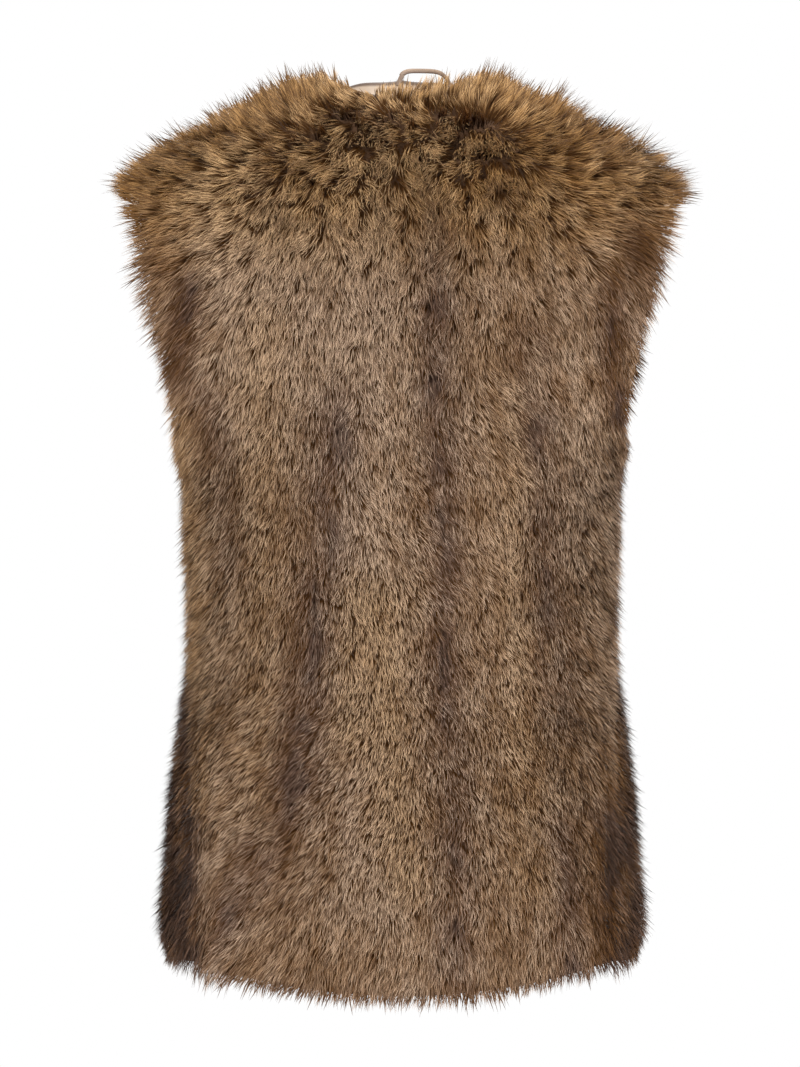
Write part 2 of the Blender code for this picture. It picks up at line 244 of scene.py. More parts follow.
# How the pile stands, in degrees off the cloth at root and tip, and how ruffled it is, by height
STAND_COLUMNS = ("height", "root_lean", "tip_lean", "ruffle")
STAND_ROWS = (
    (-0.640, 50, 16, 0.15),
    (-0.560, 64, 32, 0.15),
    (-0.300, 64, 32, 0.15),
    (-0.180, 64, 32, 0.16),
    (-0.130, 62, 32, 0.19),
    (-0.085, 60, 34, 0.36),
    (-0.045, 60, 38, 0.56),
    (-0.010, 63, 44, 0.66),
    (0.030, 66, 48, 0.52),
)

# Darker and warmer streaks: where each runs across at its top, middle and bottom, its ends, how wide
# it is and how strong. Its curve runs on past its ends by a share of its length
STREAK_RUN_ON = 0.3
STREAK_COLUMNS = ("across_top", "across_middle", "across_bottom", "top", "bottom", "width", "share")
# Most dark rows are the fur's own stripes; those by the armholes and down the lower sides are painted shade
# in the creases and on the flanks
DARK_ROWS = (
    (0.140, 0.129, 0.121, -0.180, -0.330, 0.014, 0.45),
    (0.145, 0.152, 0.158, -0.105, -0.180, 0.009, 0.85),
    (0.046, 0.058, 0.074, -0.190, -0.490, 0.016, 0.80),
    (0.074, 0.102, 0.146, -0.480, -0.610, 0.018, 0.70),
    (-0.022, -0.028, -0.040, -0.030, -0.620, 0.013, 0.72),
    (-0.088, -0.100, -0.110, -0.140, -0.440, 0.014, 0.74),
    (-0.146, -0.150, -0.156, -0.105, -0.215, 0.008, 0.85),
    (-0.112, -0.118, -0.120, -0.500, -0.620, 0.011, 0.70),
    (-0.164, -0.160, -0.158, -0.530, -0.590, 0.013, 0.85),
    (0.012, 0.013, 0.010, 0.000, -0.075, 0.012, 0.45),
    (0.092, 0.094, 0.090, -0.036, -0.064, 0.013, 0.70),
    (0.076, 0.068, 0.058, 0.000, -0.018, 0.014, 0.40),
    (-0.158, -0.164, -0.168, -0.066, -0.100, 0.014, 0.80),
    (-0.186, -0.180, -0.170, -0.045, -0.150, 0.016, 0.40),
    (-0.152, -0.154, -0.156, -0.490, -0.640, 0.018, 0.88),
    (0.194, 0.188, 0.176, -0.070, -0.190, 0.014, 0.50),
    (0.150, 0.148, 0.146, -0.405, -0.640, 0.007, 0.75),
    (-0.070, -0.068, -0.066, -0.040, -0.060, 0.012, 0.40),
    (0.160, 0.150, 0.138, -0.020, -0.050, 0.016, 0.40),
    (-0.110, -0.140, -0.165, 0.002, -0.040, 0.014, 0.40),
)
GOLD_ROWS = (
    (0.016, 0.008, -0.006, -0.330, -0.560, 0.018, 0.48),
    (-0.080, -0.082, -0.088, -0.130, -0.560, 0.018, 0.34),
    (0.098, 0.100, 0.095, -0.120, -0.520, 0.020, 0.36),
    (0.156, 0.150, 0.150, -0.200, -0.500, 0.018, 0.60),
    (0.036, 0.036, 0.036, -0.330, -0.460, 0.016, 0.40),
)
# Painted shade down a front's flank, where it turns away past the side seam
FRONT_FLANK_SHADE_STREAKS = (
    (0.160, 0.162, 0.162, -0.390, -0.660, 0.030, 0.85),
)

# Broad lighter and darker places, in the same columns; a share below 0 darkens, and most darkening rows are
# painted shade in the armhole creases, on the flanks and along the hem
TONE_ROWS = (
    (0.104, 0.100, 0.096, -0.045, -0.240, 0.030, 0.27),
    (0.026, 0.026, 0.022, -0.030, -0.580, 0.024, 0.24),
    (0.117, 0.117, 0.117, -0.030, -0.100, 0.024, 0.55),
    (0.145, 0.152, 0.158, -0.110, -0.175, 0.008, -0.40),
    (-0.147, -0.150, -0.153, -0.100, -0.210, 0.008, -0.44),
    (-0.166, -0.167, -0.168, -0.070, -0.098, 0.011, -0.34),
    (0.038, 0.038, 0.038, -0.260, -0.430, 0.014, 0.14),
    (0.000, 0.000, 0.000, -0.330, -0.560, 0.012, 0.16),
    (-0.082, -0.082, -0.082, -0.290, -0.430, 0.012, 0.16),
    (-0.082, -0.084, -0.086, -0.125, -0.185, 0.012, -0.14),
    (0.157, 0.157, 0.157, -0.060, -0.110, 0.014, -0.16),
    (0.117, 0.117, 0.117, -0.260, -0.410, 0.018, 0.14),
    (0.075, 0.075, 0.070, -0.040, -0.170, 0.050, 0.18),
    (0.022, 0.010, 0.000, 0.050, -0.050, 0.060, 0.30),
    (-0.082, -0.082, -0.082, -0.560, -0.620, 0.025, -0.16),
    (0.150, 0.150, 0.148, -0.570, -0.620, 0.020, -0.12),
    (-0.124, -0.124, -0.124, -0.200, -0.320, 0.018, 0.20),
    (0.055, 0.050, 0.045, -0.595, -0.660, 0.026, -0.26),
    (0.140, 0.138, 0.138, -0.250, -0.420, 0.015, 0.07),
    (0.198, 0.186, 0.170, -0.045, -0.210, 0.022, -0.40),
    (-0.190, -0.176, -0.165, -0.045, -0.130, 0.022, -0.16),
    (0.038, 0.036, 0.034, 0.000, -0.040, 0.016, 0.22),
    (-0.042, -0.042, -0.044, 0.000, -0.040, 0.016, 0.22),
    (0.117, 0.117, 0.117, -0.045, -0.075, 0.016, 0.20),
    (-0.082, -0.082, -0.082, -0.180, -0.300, 0.014, 0.14),
    (-0.146, -0.146, -0.146, -0.240, -0.340, 0.018, 0.12),
    (-0.160, -0.158, -0.158, -0.460, -0.640, 0.016, -0.40),
    (0.134, 0.138, 0.142, -0.570, -0.600, 0.014, -0.12),
    (-0.146, -0.150, -0.152, -0.510, -0.630, 0.020, -0.46),
    (0.110, 0.112, 0.114, 0.060, -0.004, 0.036, -0.16),
    (-0.120, -0.122, -0.124, 0.050, -0.010, 0.036, -0.12),
    (0.070, 0.070, 0.068, -0.260, -0.620, 0.013, -0.08),
)
# The same painted shade on a front's flank, as a darker tone
FRONT_FLANK_SHADE_TONES = (
    (0.160, 0.162, 0.162, -0.390, -0.660, 0.030, -0.40),
)

# Between which heights the yoke turns golden
YOKE = (-0.130, -0.035)

# Where the hairs are longer or shorter than the pile's own depth asks
REACH_COLUMNS = ("across", "height", "width", "share")
REACH_ROWS = (
    (0.127, -0.625, 0.016, 0.32),
    (0.140, -0.622, 0.018, 0.15),
    (-0.146, -0.615, 0.014, -0.20),
    (-0.207, -0.046, 0.024, 0.04),
    (0.207, -0.046, 0.024, 0.12),
    (0.112, 0.010, 0.014, -0.20),
    (0.143, -0.003, 0.024, -0.16),
    (-0.182, -0.022, 0.018, 0.10),
    (-0.204, -0.014, 0.016, -0.16),
    (-0.160, 0.010, 0.014, -0.14),
    (0.158, 0.010, 0.014, 0.14),
    (0.206, -0.080, 0.020, 0.12),
    (0.196, -0.100, 0.030, 0.34),
    (-0.194, -0.092, 0.032, 0.34),
    (-0.053, -0.640, 0.012, 0.30),
    (-0.080, -0.635, 0.014, -0.15),
    (-0.021, 0.036, 0.020, 1.50),
    (0.040, 0.036, 0.013, 0.30),
    (-0.089, 0.016, 0.012, -0.30),
    (-0.107, 0.012, 0.012, 0.10),
    (-0.135, -0.002, 0.022, -0.24),
    (-0.053, 0.032, 0.010, -0.22),
    (0.058, 0.030, 0.012, -0.18),
    (0.190, -0.140, 0.034, 0.38),
    (0.168, -0.195, 0.025, 0.22),
    (-0.165, -0.210, 0.040, -0.20),
    (-0.158, -0.275, 0.035, -0.20),
    (-0.178, -0.190, 0.022, -0.18),
)
FRONT_REACH_ROWS = (
    (0.172, -0.612, 0.016, -0.50),
    (0.149, -0.620, 0.012, 0.35),
    (0.155, -0.428, 0.025, 0.18),
)

# Where a panel's pile changes: shares of the way out to its side edge and up from its hem, heights, and
# how far in front of the shoulders its side is still seen from behind
NEAR_SIDE = (0.78, 0.97)
NEAR_HEM = (0, 0.045)
BELOW_WAIST = (-0.45, -0.40)
HEM_CORNER = (-0.615, -0.575)
OVER_UNDERARM = (UNDERARM_HEIGHT, -0.16)
ARMHOLE_FOOT = (-0.30, -0.20)
ARMHOLE_TOP = (-0.060, -0.035)
SEEN_BEHIND = (-0.040, -0.005)

# By what share the pile changes there
SHORTER_AT_ARMHOLE = 0.22
CALMER_AT_ARMHOLE = 0.5
PLAINER_AT_ARMHOLE = 0.6
SHORTER_AT_HEM = 0.30
SHORTER_AT_SIDE = 0.28
FLATTER_AT_SIDE = 0.5
HEM_SHADE = 0.14
HEM_BAND = 0.6

# Pile: hairs, locks and tufts to each square metre, and the hairs' width
BACK_HAIRS = 650000
FRONT_HAIRS = 410000
LOCKS = 150000
TUFTS = 12000
BACK_HAIR_WIDTH = 0.00053
FRONT_HAIR_WIDTH = 0.00064

# What locks and tufts add to a panel's seed, and how far apart the panels' seeds are for each letter
LOCK_SEED = 7.0
TUFT_SEED = 8.0
SEEDS_APART = 100

# How closely a lock's hairs gather, what ruffle adds to that, how late along a hair, and by what share
# guard hairs are longer at least
CLUMP = 0.14
RUFFLED_CLUMP = 0.60
PULL_POWER = 1.3
GUARD_LEAST = 0.18

# How a hair is lit: by the cloth's side, by its own, and by how round its lock and its tuft are
CLOTH_LIT = 0.6
HAIR_LIT = 0.4
LOCK_ROUNDING = 100.0
TUFT_ROUNDING = 120.0

# What the pile's tree takes, with what each panel gets unless its own row says otherwise
PILE_INPUTS = (
    ("Geometry", "NodeSocketGeometry"),
    ("Hairs", "NodeSocketFloat", BACK_HAIRS),
    ("Locks", "NodeSocketFloat", LOCKS),
    ("Tufts", "NodeSocketFloat", TUFTS),
    ("Seed", "NodeSocketInt", 1),
    ("Hair Width", "NodeSocketFloat", BACK_HAIR_WIDTH),
    ("Length Spread", "NodeSocketFloat", 0.16),
    ("Clump", "NodeSocketFloat", CLUMP),
    ("Ruffled Clump", "NodeSocketFloat", RUFFLED_CLUMP),
    ("Tuft Clump", "NodeSocketFloat", 0.95),
    ("Guard Share", "NodeSocketFloat", 0.08),
    ("Guard Length", "NodeSocketFloat", 0.60),
    ("Guard Width", "NodeSocketFloat", 2.1),
    ("Patches", "NodeSocketFloat", 70.0),
    ("Breaks", "NodeSocketFloat", 48.0),
    ("Eddies", "NodeSocketFloat", 38.0),
)
PILE_OUTPUTS = (("Geometry", "NodeSocketGeometry"),)

# Noise on the pile: how it is drawn out downwards, where the second one is read, and each one's spread
# and start
DRAWN_OUT = (1.0, 1.0, 0.55)
BREAKS_SHIFT = (3.1, 5.7, 1.9)
PATCH_SPREAD = (2.4, -0.7)
BREAKS_SPREAD = (2.6, -0.3)
EDDY_SPREAD = (3.0, -1.5)

# Random facts: lowest, highest, seed, and whether the hairs of a lock or a tuft share it
CHANCES = (
    ("tuft_swing", -1.0, 1.0, 19, "tuft"),
    ("tuft_lift", -1.0, 1.0, 20, "tuft"),
    ("tuft_tone", 0.0, 1.0, 21, "tuft"),
    ("lock_swing", -1.0, 1.0, 11, "lock"),
    ("lock_lift", -1.0, 1.0, 12, "lock"),
    ("lock_tone", 0.0, 1.0, 13, "lock"),
    ("hair_swing", -1.0, 1.0, 14, None),
    ("hair_lift", -1.0, 1.0, 15, None),
    ("hair_tone", 0.0, 1.0, 16, None),
    ("hair_roll", -0.7, 0.7, 17, None),
    ("guard", 0.0, 1.0, 18, None),
)

# What each hair's swing, lift and tone are made of: a fact, its share, and what ruffle adds to the share
SWINGS = (
    ("lock_swing", 0.10, 0.26),
    ("hair_swing", 0.36, -0.12),
    ("tuft_swing", 0.08, 0.80),
    ("eddy", 0.26, 0.50),
)
LIFTS = (
    ("hair_lift", 0.20, 0.00),
    ("lock_lift", 0.00, 0.30),
    ("tuft_lift", 0.00, 0.55),
)
TONES = (
    ("hair_tone", 0.54, -0.44),
    ("lock_tone", 0.06, 0.14),
    ("tuft_tone", 0.02, 0.34),
    ("patch", 0.54, -0.20),
    ("shift", 1.00, 0.00),
)

# Facts that only growing the pile needs
PASSING_FACTS = (
    "lie", "out", "reach", "shift", "ruffle", "bristle", "root_lean", "tip_lean", "root", "pull",
    "tuft_pull", "tuft_swing", "tuft_lift", "tuft_tone", "lock_swing", "lock_lift", "lock_tone",
    "hair_swing", "hair_lift", "hair_tone", "hair_roll", "patch", "eddy", "aside", "shade",
)

# Each fur panel's node and cut, its side, its sheet's flat size and area, and the pile that grows on it
FUR_COLUMNS = ("node", "part", "side", "flat", "area", "patches", "hairs", "width")
FUR_ROWS = (
    ("back", "back", 0, (0.54, 0.73), 0.256, 4, BACK_HAIRS, BACK_HAIR_WIDTH),
    ("left_front", "front", 1, (0.36, 0.71), 0.152, 2, FRONT_HAIRS, FRONT_HAIR_WIDTH),
    ("right_front", "front", -1, (0.36, 0.71), 0.152, 2, FRONT_HAIRS, FRONT_HAIR_WIDTH),
)

# The fur's colours, each one plain and golden, and those that are the same on both
FUR_COLOURS = {
    "usual": ((0.510, 0.325, 0.194, 1), (0.512, 0.284, 0.108, 1)),
    "pale": ((0.800, 0.640, 0.490, 1), (0.790, 0.570, 0.330, 1)),
    "deep": ((0.208, 0.101, 0.038, 1), (0.235, 0.104, 0.024, 1)),
    "shadow": ((0.062, 0.036, 0.025, 1), (0.084, 0.034, 0.009, 1)),
}
MAUVE = (0.345, 0.214, 0.160, 1)
ROOT_COLOUR = (0.086, 0.036, 0.010, 1)
TIP_COLOUR = (0.062, 0.030, 0.016, 1)
BRIGHTER = (1.6, 1.6, 1.6, 1)

# Between which tones the fur goes from shadow to deep, from deep to its usual colour and on to the lit one
DEEP_TONES = (-0.35, 0.10)
USUAL_TONES = (0.10, 0.52)
LIT_TONES = (0.48, 0.94)

# Where along a hair its root's colour fades and its dark tip comes up
ROOT_ALONG = (0.94, 0.36)
TIP_ALONG = (0.30, 0.85)

# How strong a streak is where its depths turn to shadow, and what gold takes from its mauve
STRONG_STREAK = (0.72, 0.92)
MAUVE_ON_GOLD = -0.8

# Hairs with dark tips: what a full streak adds to their share, their share outside one, how sharply they
# are picked, and how dark their tips are
DARK_GUARDS = (0.70, 0.15)
GUARD_EDGE = 0.04
TIP_STRENGTH = 0.88

# Lining and loop
LINING_WALL = 0.0012
LINING_GAP = 0.0009
LINING_HEM = 0.080
LINING_RISE = 0.009
LINING_LEAN = 0.0012
LINING_SEAM_INSET = 0.010
LINING_ARMHOLE_INSET = 0.050
LINING_ARMHOLE_FROM = -0.05
LINING_ARMHOLE_TO = 0.01
LINING_TOP = 1.97
LINING_BODY_ROWS = 60
LINING_SHOULDER_ROWS = 30
LINING_STAND_ROWS = 6
LINING_COLUMNS = 101
LOOP_WIDTH = 0.0038
LOOP_WALL = 0.0011
LOOP_COLUMNS = ("across", "above")
LOOP_ROWS = (
    (0.0035, -0.0040),
    (0.0025, -0.0015),
    (-0.0010, 0.0045),
    (-0.0065, 0.0074),
    (-0.0170, 0.0080),
    (-0.0275, 0.0072),
    (-0.0330, 0.0040),
    (-0.0355, 0.0006),
    (-0.0362, -0.0022),
)
LOOP_STEPS = 14
RIBBON_SECTION = ((-0.50, 0.0), (-0.42, 0.5), (-0.2, 0.42), (0.2, 0.42), (0.42, 0.5), (0.50, 0.0))

# The satins' tints, threads and roughness
SATIN_COLUMNS = ("name", "tint", "threads", "roughness")
LINING_SATIN = ("lining_satin", (0.60, 0.46, 0.34, 1), 2200.0, 0.36)
RIBBON_SATIN = ("ribbon_satin", (0.38, 0.265, 0.185, 1), 3000.0, 0.38)

# Painted shade on rims: on the lining's rolled top edge, on the ribbon's lower side, and on its sewn foot by
# rings
RIM_SHADE_COLOUR = (0.085, 0.044, 0.025, 1)
RIM_SHADE_STRENGTH = 0.9
RIBBON_LEAST_SHADE = 0.15
RIBBON_LOWER_SIDE = (-0.10, 0.30)
FOOT_RINGS = (14, 40)
FOOT_SHADE = 0.65
LINING_SHADED_ROWS = 2

# Photograph's view
PHOTO_DISTANCE = 2.6
PHOTO_HEIGHT = -0.300
PHOTO_TALL = 0.8077
PHOTO_SIDE = 0.0015
SENSOR = 36.0

# Studio: the floor, the sky and the lights
FLOOR_HALF = 4.0
FLOOR_HEIGHT = -1.42
FLOOR_COLOUR = (0.90, 0.90, 0.90, 1)
FLOOR_GLOW = 0.45
SKY_POWER = 0.55
WHITE = (1, 1, 1, 1)
LIGHT_COLUMNS = ("name", "place", "aim", "size", "power")
LIGHT_ROWS = (
    ("key", (1.6, 3.2, 1.6), (0, 0, -0.3), 2.2, 97),
    ("fill", (-2.6, 2.6, 0.6), (0, 0, -0.3), 2.4, 77),
    ("front_key", (-1.4, -3.0, 1.6), (0, 0, -0.3), 2.2, 80),
    ("top", (0, 0, 2.6), (0, 0, 0), 2.0, 40),
)


def smooth_column(rows, columns, name, at):
    """Reads one column of a table at any value of its first column, by cubic curves."""
    table = np.array(rows)
    places = table[:, 0]
    values = table[:, columns.index(name)]
    slopes = np.gradient(values, places)
    at = np.asarray(at, float)
    low = np.clip(np.searchsorted(places, at) - 1, 0, len(places) - 2)
    span = places[low + 1] - places[low]
    part = np.clip((at - places[low]) / span, 0, 1)
    rest = 1 - part
    start = (1 + 2 * part) * rest**2 * values[low] + part * rest**2 * span * slopes[low]
    end = part**2 * (3 - 2 * part) * values[low + 1] - part**2 * rest * span * slopes[low + 1]
    return start + end


def body(name, height):
    """One size of the worn form at a height."""
    return smooth_column(BODY_ROWS, BODY_COLUMNS, name, height)


def panel_size(part, name):
    """One size of the back or the front panel."""
    return PANEL_ROWS[part][PANEL_COLUMNS.index(name)]


def ease(value, low, high):
    """Rises smoothly from 0 to 1 between two values."""
    part = np.clip((value - low) / (high - low), 0, 1)
    return part * part * (3 - 2 * part)


def ring(part, height, angle):
    """A section's point: angle 0 is the panel's centre line, and the sides are at a right angle."""
    facing = panel_size(part, "facing")
    across = np.sin(angle)
    along = np.cos(angle)
    behind = along * facing > 0
    depth = np.where(behind, body("back_depth", height), body("front_depth", height))
    half_width = body("half_width", height)
    powers = (np.abs(across) / half_width) ** SQUARENESS + (np.abs(along) / depth) ** SQUARENESS
    reach = powers ** (-1 / SQUARENESS)
    return reach * across, reach * along * facing


def edge_angle(part, height):
    """The angle from a panel's centre line to its side seam, or to its armhole above the underarm."""
    facing = panel_size(part, "facing")
    seam = body("seam_back", height) * facing
    top = panel_size(part, "base")
    down = np.clip((top - height) / (top - UNDERARM_HEIGHT), 0, 1)
    bow = (1 - down**ARMHOLE_ROUNDNESS) ** (1 / ARMHOLE_ROUNDNESS)
    out = seam + (panel_size(part, "armhole_reach") - seam) * bow
    depth = np.where(out * facing > 0, body("back_depth", height), body("front_depth", height))
    across = body("half_width", height) * (1 - (np.abs(out) / depth) ** SQUARENESS) ** (1 / SQUARENESS)
    return np.arctan2(across, out)


def crest(across):
    """Height of the shoulders' crest."""
    return smooth_column(CREST_ROWS, CREST_COLUMNS, "height", np.abs(across))


def edge_half_width(part):
    """How far out the armhole's edge is where the shoulder starts to round over."""
    base = panel_size(part, "base")
    return float(ring(part, base, edge_angle(part, base))[0])


def shoulder_spread(part, x):
    """Where a column that starts at x on the shoulder's base ends on the shoulder seam."""
    out = np.maximum(np.abs(x) - NECK_HALF_WIDTH, 0)
    shoulder = edge_half_width(part) - NECK_HALF_WIDTH
    stretch = (SHOULDER_TIP - NECK_HALF_WIDTH) / shoulder - 1
    return x + np.sign(x) * out * stretch * out / shoulder


def form(part, angle, height, turned):
    """A point of the worn form: on the section at a height, then turned over the shoulder's crest."""
    base = panel_size(part, "base")
    x, y = ring(part, height, angle)
    fullness = panel_size(part, "fullness")
    rise = np.sin(turned)
    run = np.cos(turned)
    reach = (np.abs(rise) ** fullness + np.abs(run) ** fullness) ** (-1 / fullness)
    over_x = x + (shoulder_spread(part, x) - x) * ease(turned, 0, math.pi / 2)
    z = height + (crest(over_x) - base) * reach * rise
    return np.stack([over_x, y * reach * run, z], -1)


def end_of_column(part, x, y):
    """The turn at which a column stops: on the crest, or before it at the neck's edge."""
    fullness = panel_size(part, "fullness")
    inside = np.sqrt(np.clip(1 - (x / NECK_HALF_WIDTH) ** 2, 0, 1))
    share = np.clip(panel_size(part, "neck_depth") * inside / np.maximum(np.abs(y), LEAST_DEPTH), 0, 1)
    level = (1 - share**fullness) ** (1 / fullness)
    return np.arctan2(level, share)


def panel_place(part, u, t):
    """The angle, height and turn of a place on a panel.

    u is 0 on the panel's centre line and 1 or -1 at its side seam or armhole. t is 0 at the hem, 1 where
    the shoulder starts to round over, and 2 at the shoulder seam and the neck's edge.
    """
    u, t = np.broadcast_arrays(np.asarray(u, float), np.asarray(t, float))
    base = panel_size(part, "base")
    hem_side = panel_size(part, "hem_side")
    hem = hem_side + (panel_size(part, "hem_centre") - hem_side) * (1 - np.minimum(u * u, 1))
    height = hem + (base - hem) * np.minimum(t, 1)
    angle = edge_angle(part, height) * u
    turned = np.maximum(t - 1, 0) * end_of_column(part, *ring(part, height, angle))
    return angle, height, turned


def surface(part, u, t):
    """A point of the cloth's inner side at a place on a panel."""
    return form(part, *panel_place(part, u, t))


def directions(part, u, t):
    """Unit vectors across a panel, up it and out of its outer side, at right angles."""
    angle, height, turned = panel_place(part, u, t)
    lift = np.where(turned > 0, 0, STEP)
    turn = np.where(turned > 0, STEP, 0)
    across = form(part, angle + STEP, height, turned) - form(part, angle - STEP, height, turned)
    up = form(part, angle, height + lift, turned + turn) - form(part, angle, height - lift, turned - turn)
    facing = panel_size(part, "facing")
    across = unit(across)
    out = unit(np.cross(across, unit(up)) * -facing)
    return across, np.cross(out, across) * -facing, out


def unit(vectors):
    """The same directions with length 1."""
    return vectors / np.linalg.norm(vectors, axis=-1, keepdims=True)


def column_at(part, across):
    """The u of the column that is this far from the centre line where the shoulder starts to round."""
    base = panel_size(part, "base")
    places = np.linspace(-1, 1, COLUMN_POINTS)
    return np.interp(across, ring(part, base, edge_angle(part, base) * places)[0], places)


def neck_column(part):
    """The u of the column that ends at the corner between neck and shoulder seam."""
    return float(column_at(part, NECK_HALF_WIDTH))


def underarm_row(part):
    """The t of the underarm on a panel's side edge."""
    hem = panel_size(part, "hem_side")
    return (UNDERARM_HEIGHT - hem) / (panel_size(part, "base") - hem)


def pile_depth(points):
    """How far the pile reaches out of the cloth."""
    nape = surface("back", np.linspace(-1, 1, NAPE_POINTS) * neck_column("back"), 2.0)
    apart = np.linalg.norm(points[..., None, :] - nape, axis=-1).min(-1)
    inside = np.clip(1 - (points[..., 0] / NECK_HALF_WIDTH) ** 4, 0, 1)
    flat = np.exp(-((apart / NAPE_WIDTH) ** 2)) * inside
    return body("pile", points[..., 2]) * (1 - NAPE_SHARE * flat)


def cloth_grid(part, side):
    """The u and t of a fur cloth's points, inside the reach of its pile. side is 0 for the back."""
    rows = np.concatenate(
        [np.linspace(0, 1, BODY_ROWS_OF_CLOTH + 1), np.linspace(1, 2, SHOULDER_ROWS_OF_CLOTH + 1)[1:]]
    )
    half = np.linspace(0, 1, COLUMNS_OF_HALF + 1)
    columns = side * (CENTRE_INSET + (1 - CENTRE_INSET) * half) if side else np.append(-half[:0:-1], half)
    s, r = np.meshgrid(columns, rows)
    low = HEM_INSET / (panel_size(part, "base") - panel_size(part, "hem_side"))
    inside = np.clip(1 - np.abs(s / neck_column(part)) ** 4, 0, 1)
    t = np.where(r < 1, low + (1 - low) * r, 1 + (1 - NECK_INSET * inside) * (r - 1))
    underarm = underarm_row(part)
    start, end = ARMHOLE_INSET_ROWS
    u = s * (1 - ARMHOLE_INSET * ease(t, underarm + start, underarm + end) * np.abs(s) ** 3)
    return u, t


def lie_of_pile(rows, points):
    """The turn of the pile in radians at each point, from the nearest rows of the table."""
    table = dict(zip(LIE_COLUMNS, np.array(rows).T))
    apart = (points[..., None, 0] - table["across"]) ** 2 + (points[..., None, 2] - table["height"]) ** 2
    gaps = apart / (2 * LIE_WIDTH**2)
    weights = np.exp(gaps.min(-1, keepdims=True) - gaps)
    turns = np.radians(table["turn"])
    return np.arctan2((weights * np.sin(turns)).sum(-1), (weights * np.cos(turns)).sum(-1))


def lie_as_seen(turn, across, up, out):
    """The way the pile lies on the cloth so that, seen from behind, it runs by a turn from straight down."""
    lean = math.radians(VISIBLE_LEAN)
    beside = np.stack([np.cos(turn), np.zeros_like(turn), -np.sin(turn)], -1)
    by_across = (across * beside).sum(-1) * math.cos(lean)
    by_up = (up * beside).sum(-1) * math.cos(lean)
    by_out = (out * beside).sum(-1) * math.sin(lean)
    facing = np.hypot(by_across, by_up)
    slant = np.clip(by_out / np.maximum(facing, LEAST_FACING), -MOST_CORRECTION, MOST_CORRECTION)
    start = np.arcsin(slant)
    seen = np.stack([-np.sin(turn), np.zeros_like(turn), -np.cos(turn)], -1)
    plain = -across * np.sin(turn)[..., None] - up * np.cos(turn)[..., None]
    lies = []
    for first in (start, math.pi - start):
        angle = (first - np.arctan2(by_up, by_across))[..., None]
        lies.append(-across * np.sin(angle) - up * np.cos(angle))
    agree = [(lie * (seen + plain)).sum(-1, keepdims=True) for lie in lies]
    best = np.where(agree[1] > agree[0], lies[1], lies[0])
    share = ease(facing, *FACING_RANGE)[..., None]
    return unit(plain * (1 - share) + best * share)


def one_streak(row, points):
    """One streak's strength at each point, which fades at its sides and ends."""
    streak = dict(zip(STREAK_COLUMNS, row))
    down = (streak["top"] - points[..., 2]) / (streak["top"] - streak["bottom"])
    down = np.clip(down, -STREAK_RUN_ON, 1 + STREAK_RUN_ON)
    top, middle, bottom = streak["across_top"], streak["across_middle"], streak["across_bottom"]
    across = top + (4 * middle - 3 * top - bottom) * down + 2 * (top + bottom - 2 * middle) * down**2
    fade = streak["width"]
    ends = ease(points[..., 2], streak["bottom"] - fade, streak["bottom"] + fade)
    ends = ends * ease(-points[..., 2], -streak["top"] - fade, -streak["top"] + fade)
    beside = np.exp(-(((points[..., 0] - across) / streak["width"]) ** 2))
    return streak["share"] * beside * ends


def longer_share(rows, points):
    """How much longer than usual the hairs are at each point."""
    total = np.zeros(points.shape[:-1])
    for row in rows:
        spot = dict(zip(REACH_COLUMNS, row))
        apart = (points[..., 0] - spot["across"]) ** 2 + (points[..., 2] - spot["height"]) ** 2
        total += spot["share"] * np.exp(-apart / spot["width"] ** 2)
    return total


def streaks(rows, points):
    """How strongly the streaks of a table tint each point, from 0 to 1."""
    clear = np.ones(points.shape[:-1])
    for row in rows:
        clear = clear * (1 - one_streak(row, points))
    return 1 - clear


def tone_shift(rows, points):
    """How much lighter or darker the places of a table make each point."""
    return sum(one_streak(row, points) for row in rows)


def new_mesh(name, points, faces):
    """A smooth-shaded mesh from points and faces."""
    mesh = bpy.data.meshes.new(name)
    mesh.from_pydata(points.reshape(-1, 3).tolist(), [], faces)
    mesh.shade_smooth()
    return mesh


def new_piece(name, mesh, slot, *nodes):
    """Adds a piece of the vest that rides on its body, and stands for the named CAD nodes."""
    piece = bpy.data.objects.new(name, mesh)
    bpy.context.scene.collection.objects.link(piece)
    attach(piece, "root")
    if nodes:
        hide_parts(*nodes)
    return piece


def grid_faces(rows, columns, start=0, flip=False):
    """Four-sided faces of a grid of points."""
    faces = []
    for i in range(rows - 1):
        for j in range(columns - 1):
            a = start + i * columns + j
            face = (a, a + 1, a + columns + 1, a + columns)
            faces.append(face[::-1] if flip else face)
    return faces


def turn_outwards(mesh):
    """Points a closed mesh's faces outwards."""
    bm = bmesh.new()
    bm.from_mesh(mesh)
    bmesh.ops.recalc_face_normals(bm, faces=bm.faces)
    bm.to_mesh(mesh)
    bm.free()


def keep_fact(mesh, name, values):
    """Keeps numbers, or a grid of vectors, on a mesh's points."""
    kind, field = ("FLOAT_VECTOR", "vector") if values.ndim == 3 else ("FLOAT", "value")
    kept = mesh.attributes.new(name, kind, "POINT")
    kept.data.foreach_set(field, np.ascontiguousarray(values, np.float32).ravel())


def closed_sheet(name, inner, outer):
    """A closed sheet of cloth between two grids of points. The outer side's faces come first."""
    rows, columns = inner.shape[:2]
    count = rows * columns
    faces = grid_faces(rows, columns) + grid_faces(rows, columns, count, True)
    edge = list(range(columns))
    edge += [i * columns + columns - 1 for i in range(1, rows)]
    edge += [(rows - 1) * columns + j for j in range(columns - 2, -1, -1)]
    edge += [i * columns for i in range(rows - 2, 0, -1)]
    for a, b in zip(edge, edge[1:] + edge[:1]):
        faces.append((b, a, count + a, count + b))
    mesh = new_mesh(name, np.concatenate([outer.reshape(-1, 3), inner.reshape(-1, 3)]), faces)
    turn_outwards(mesh)
    return mesh


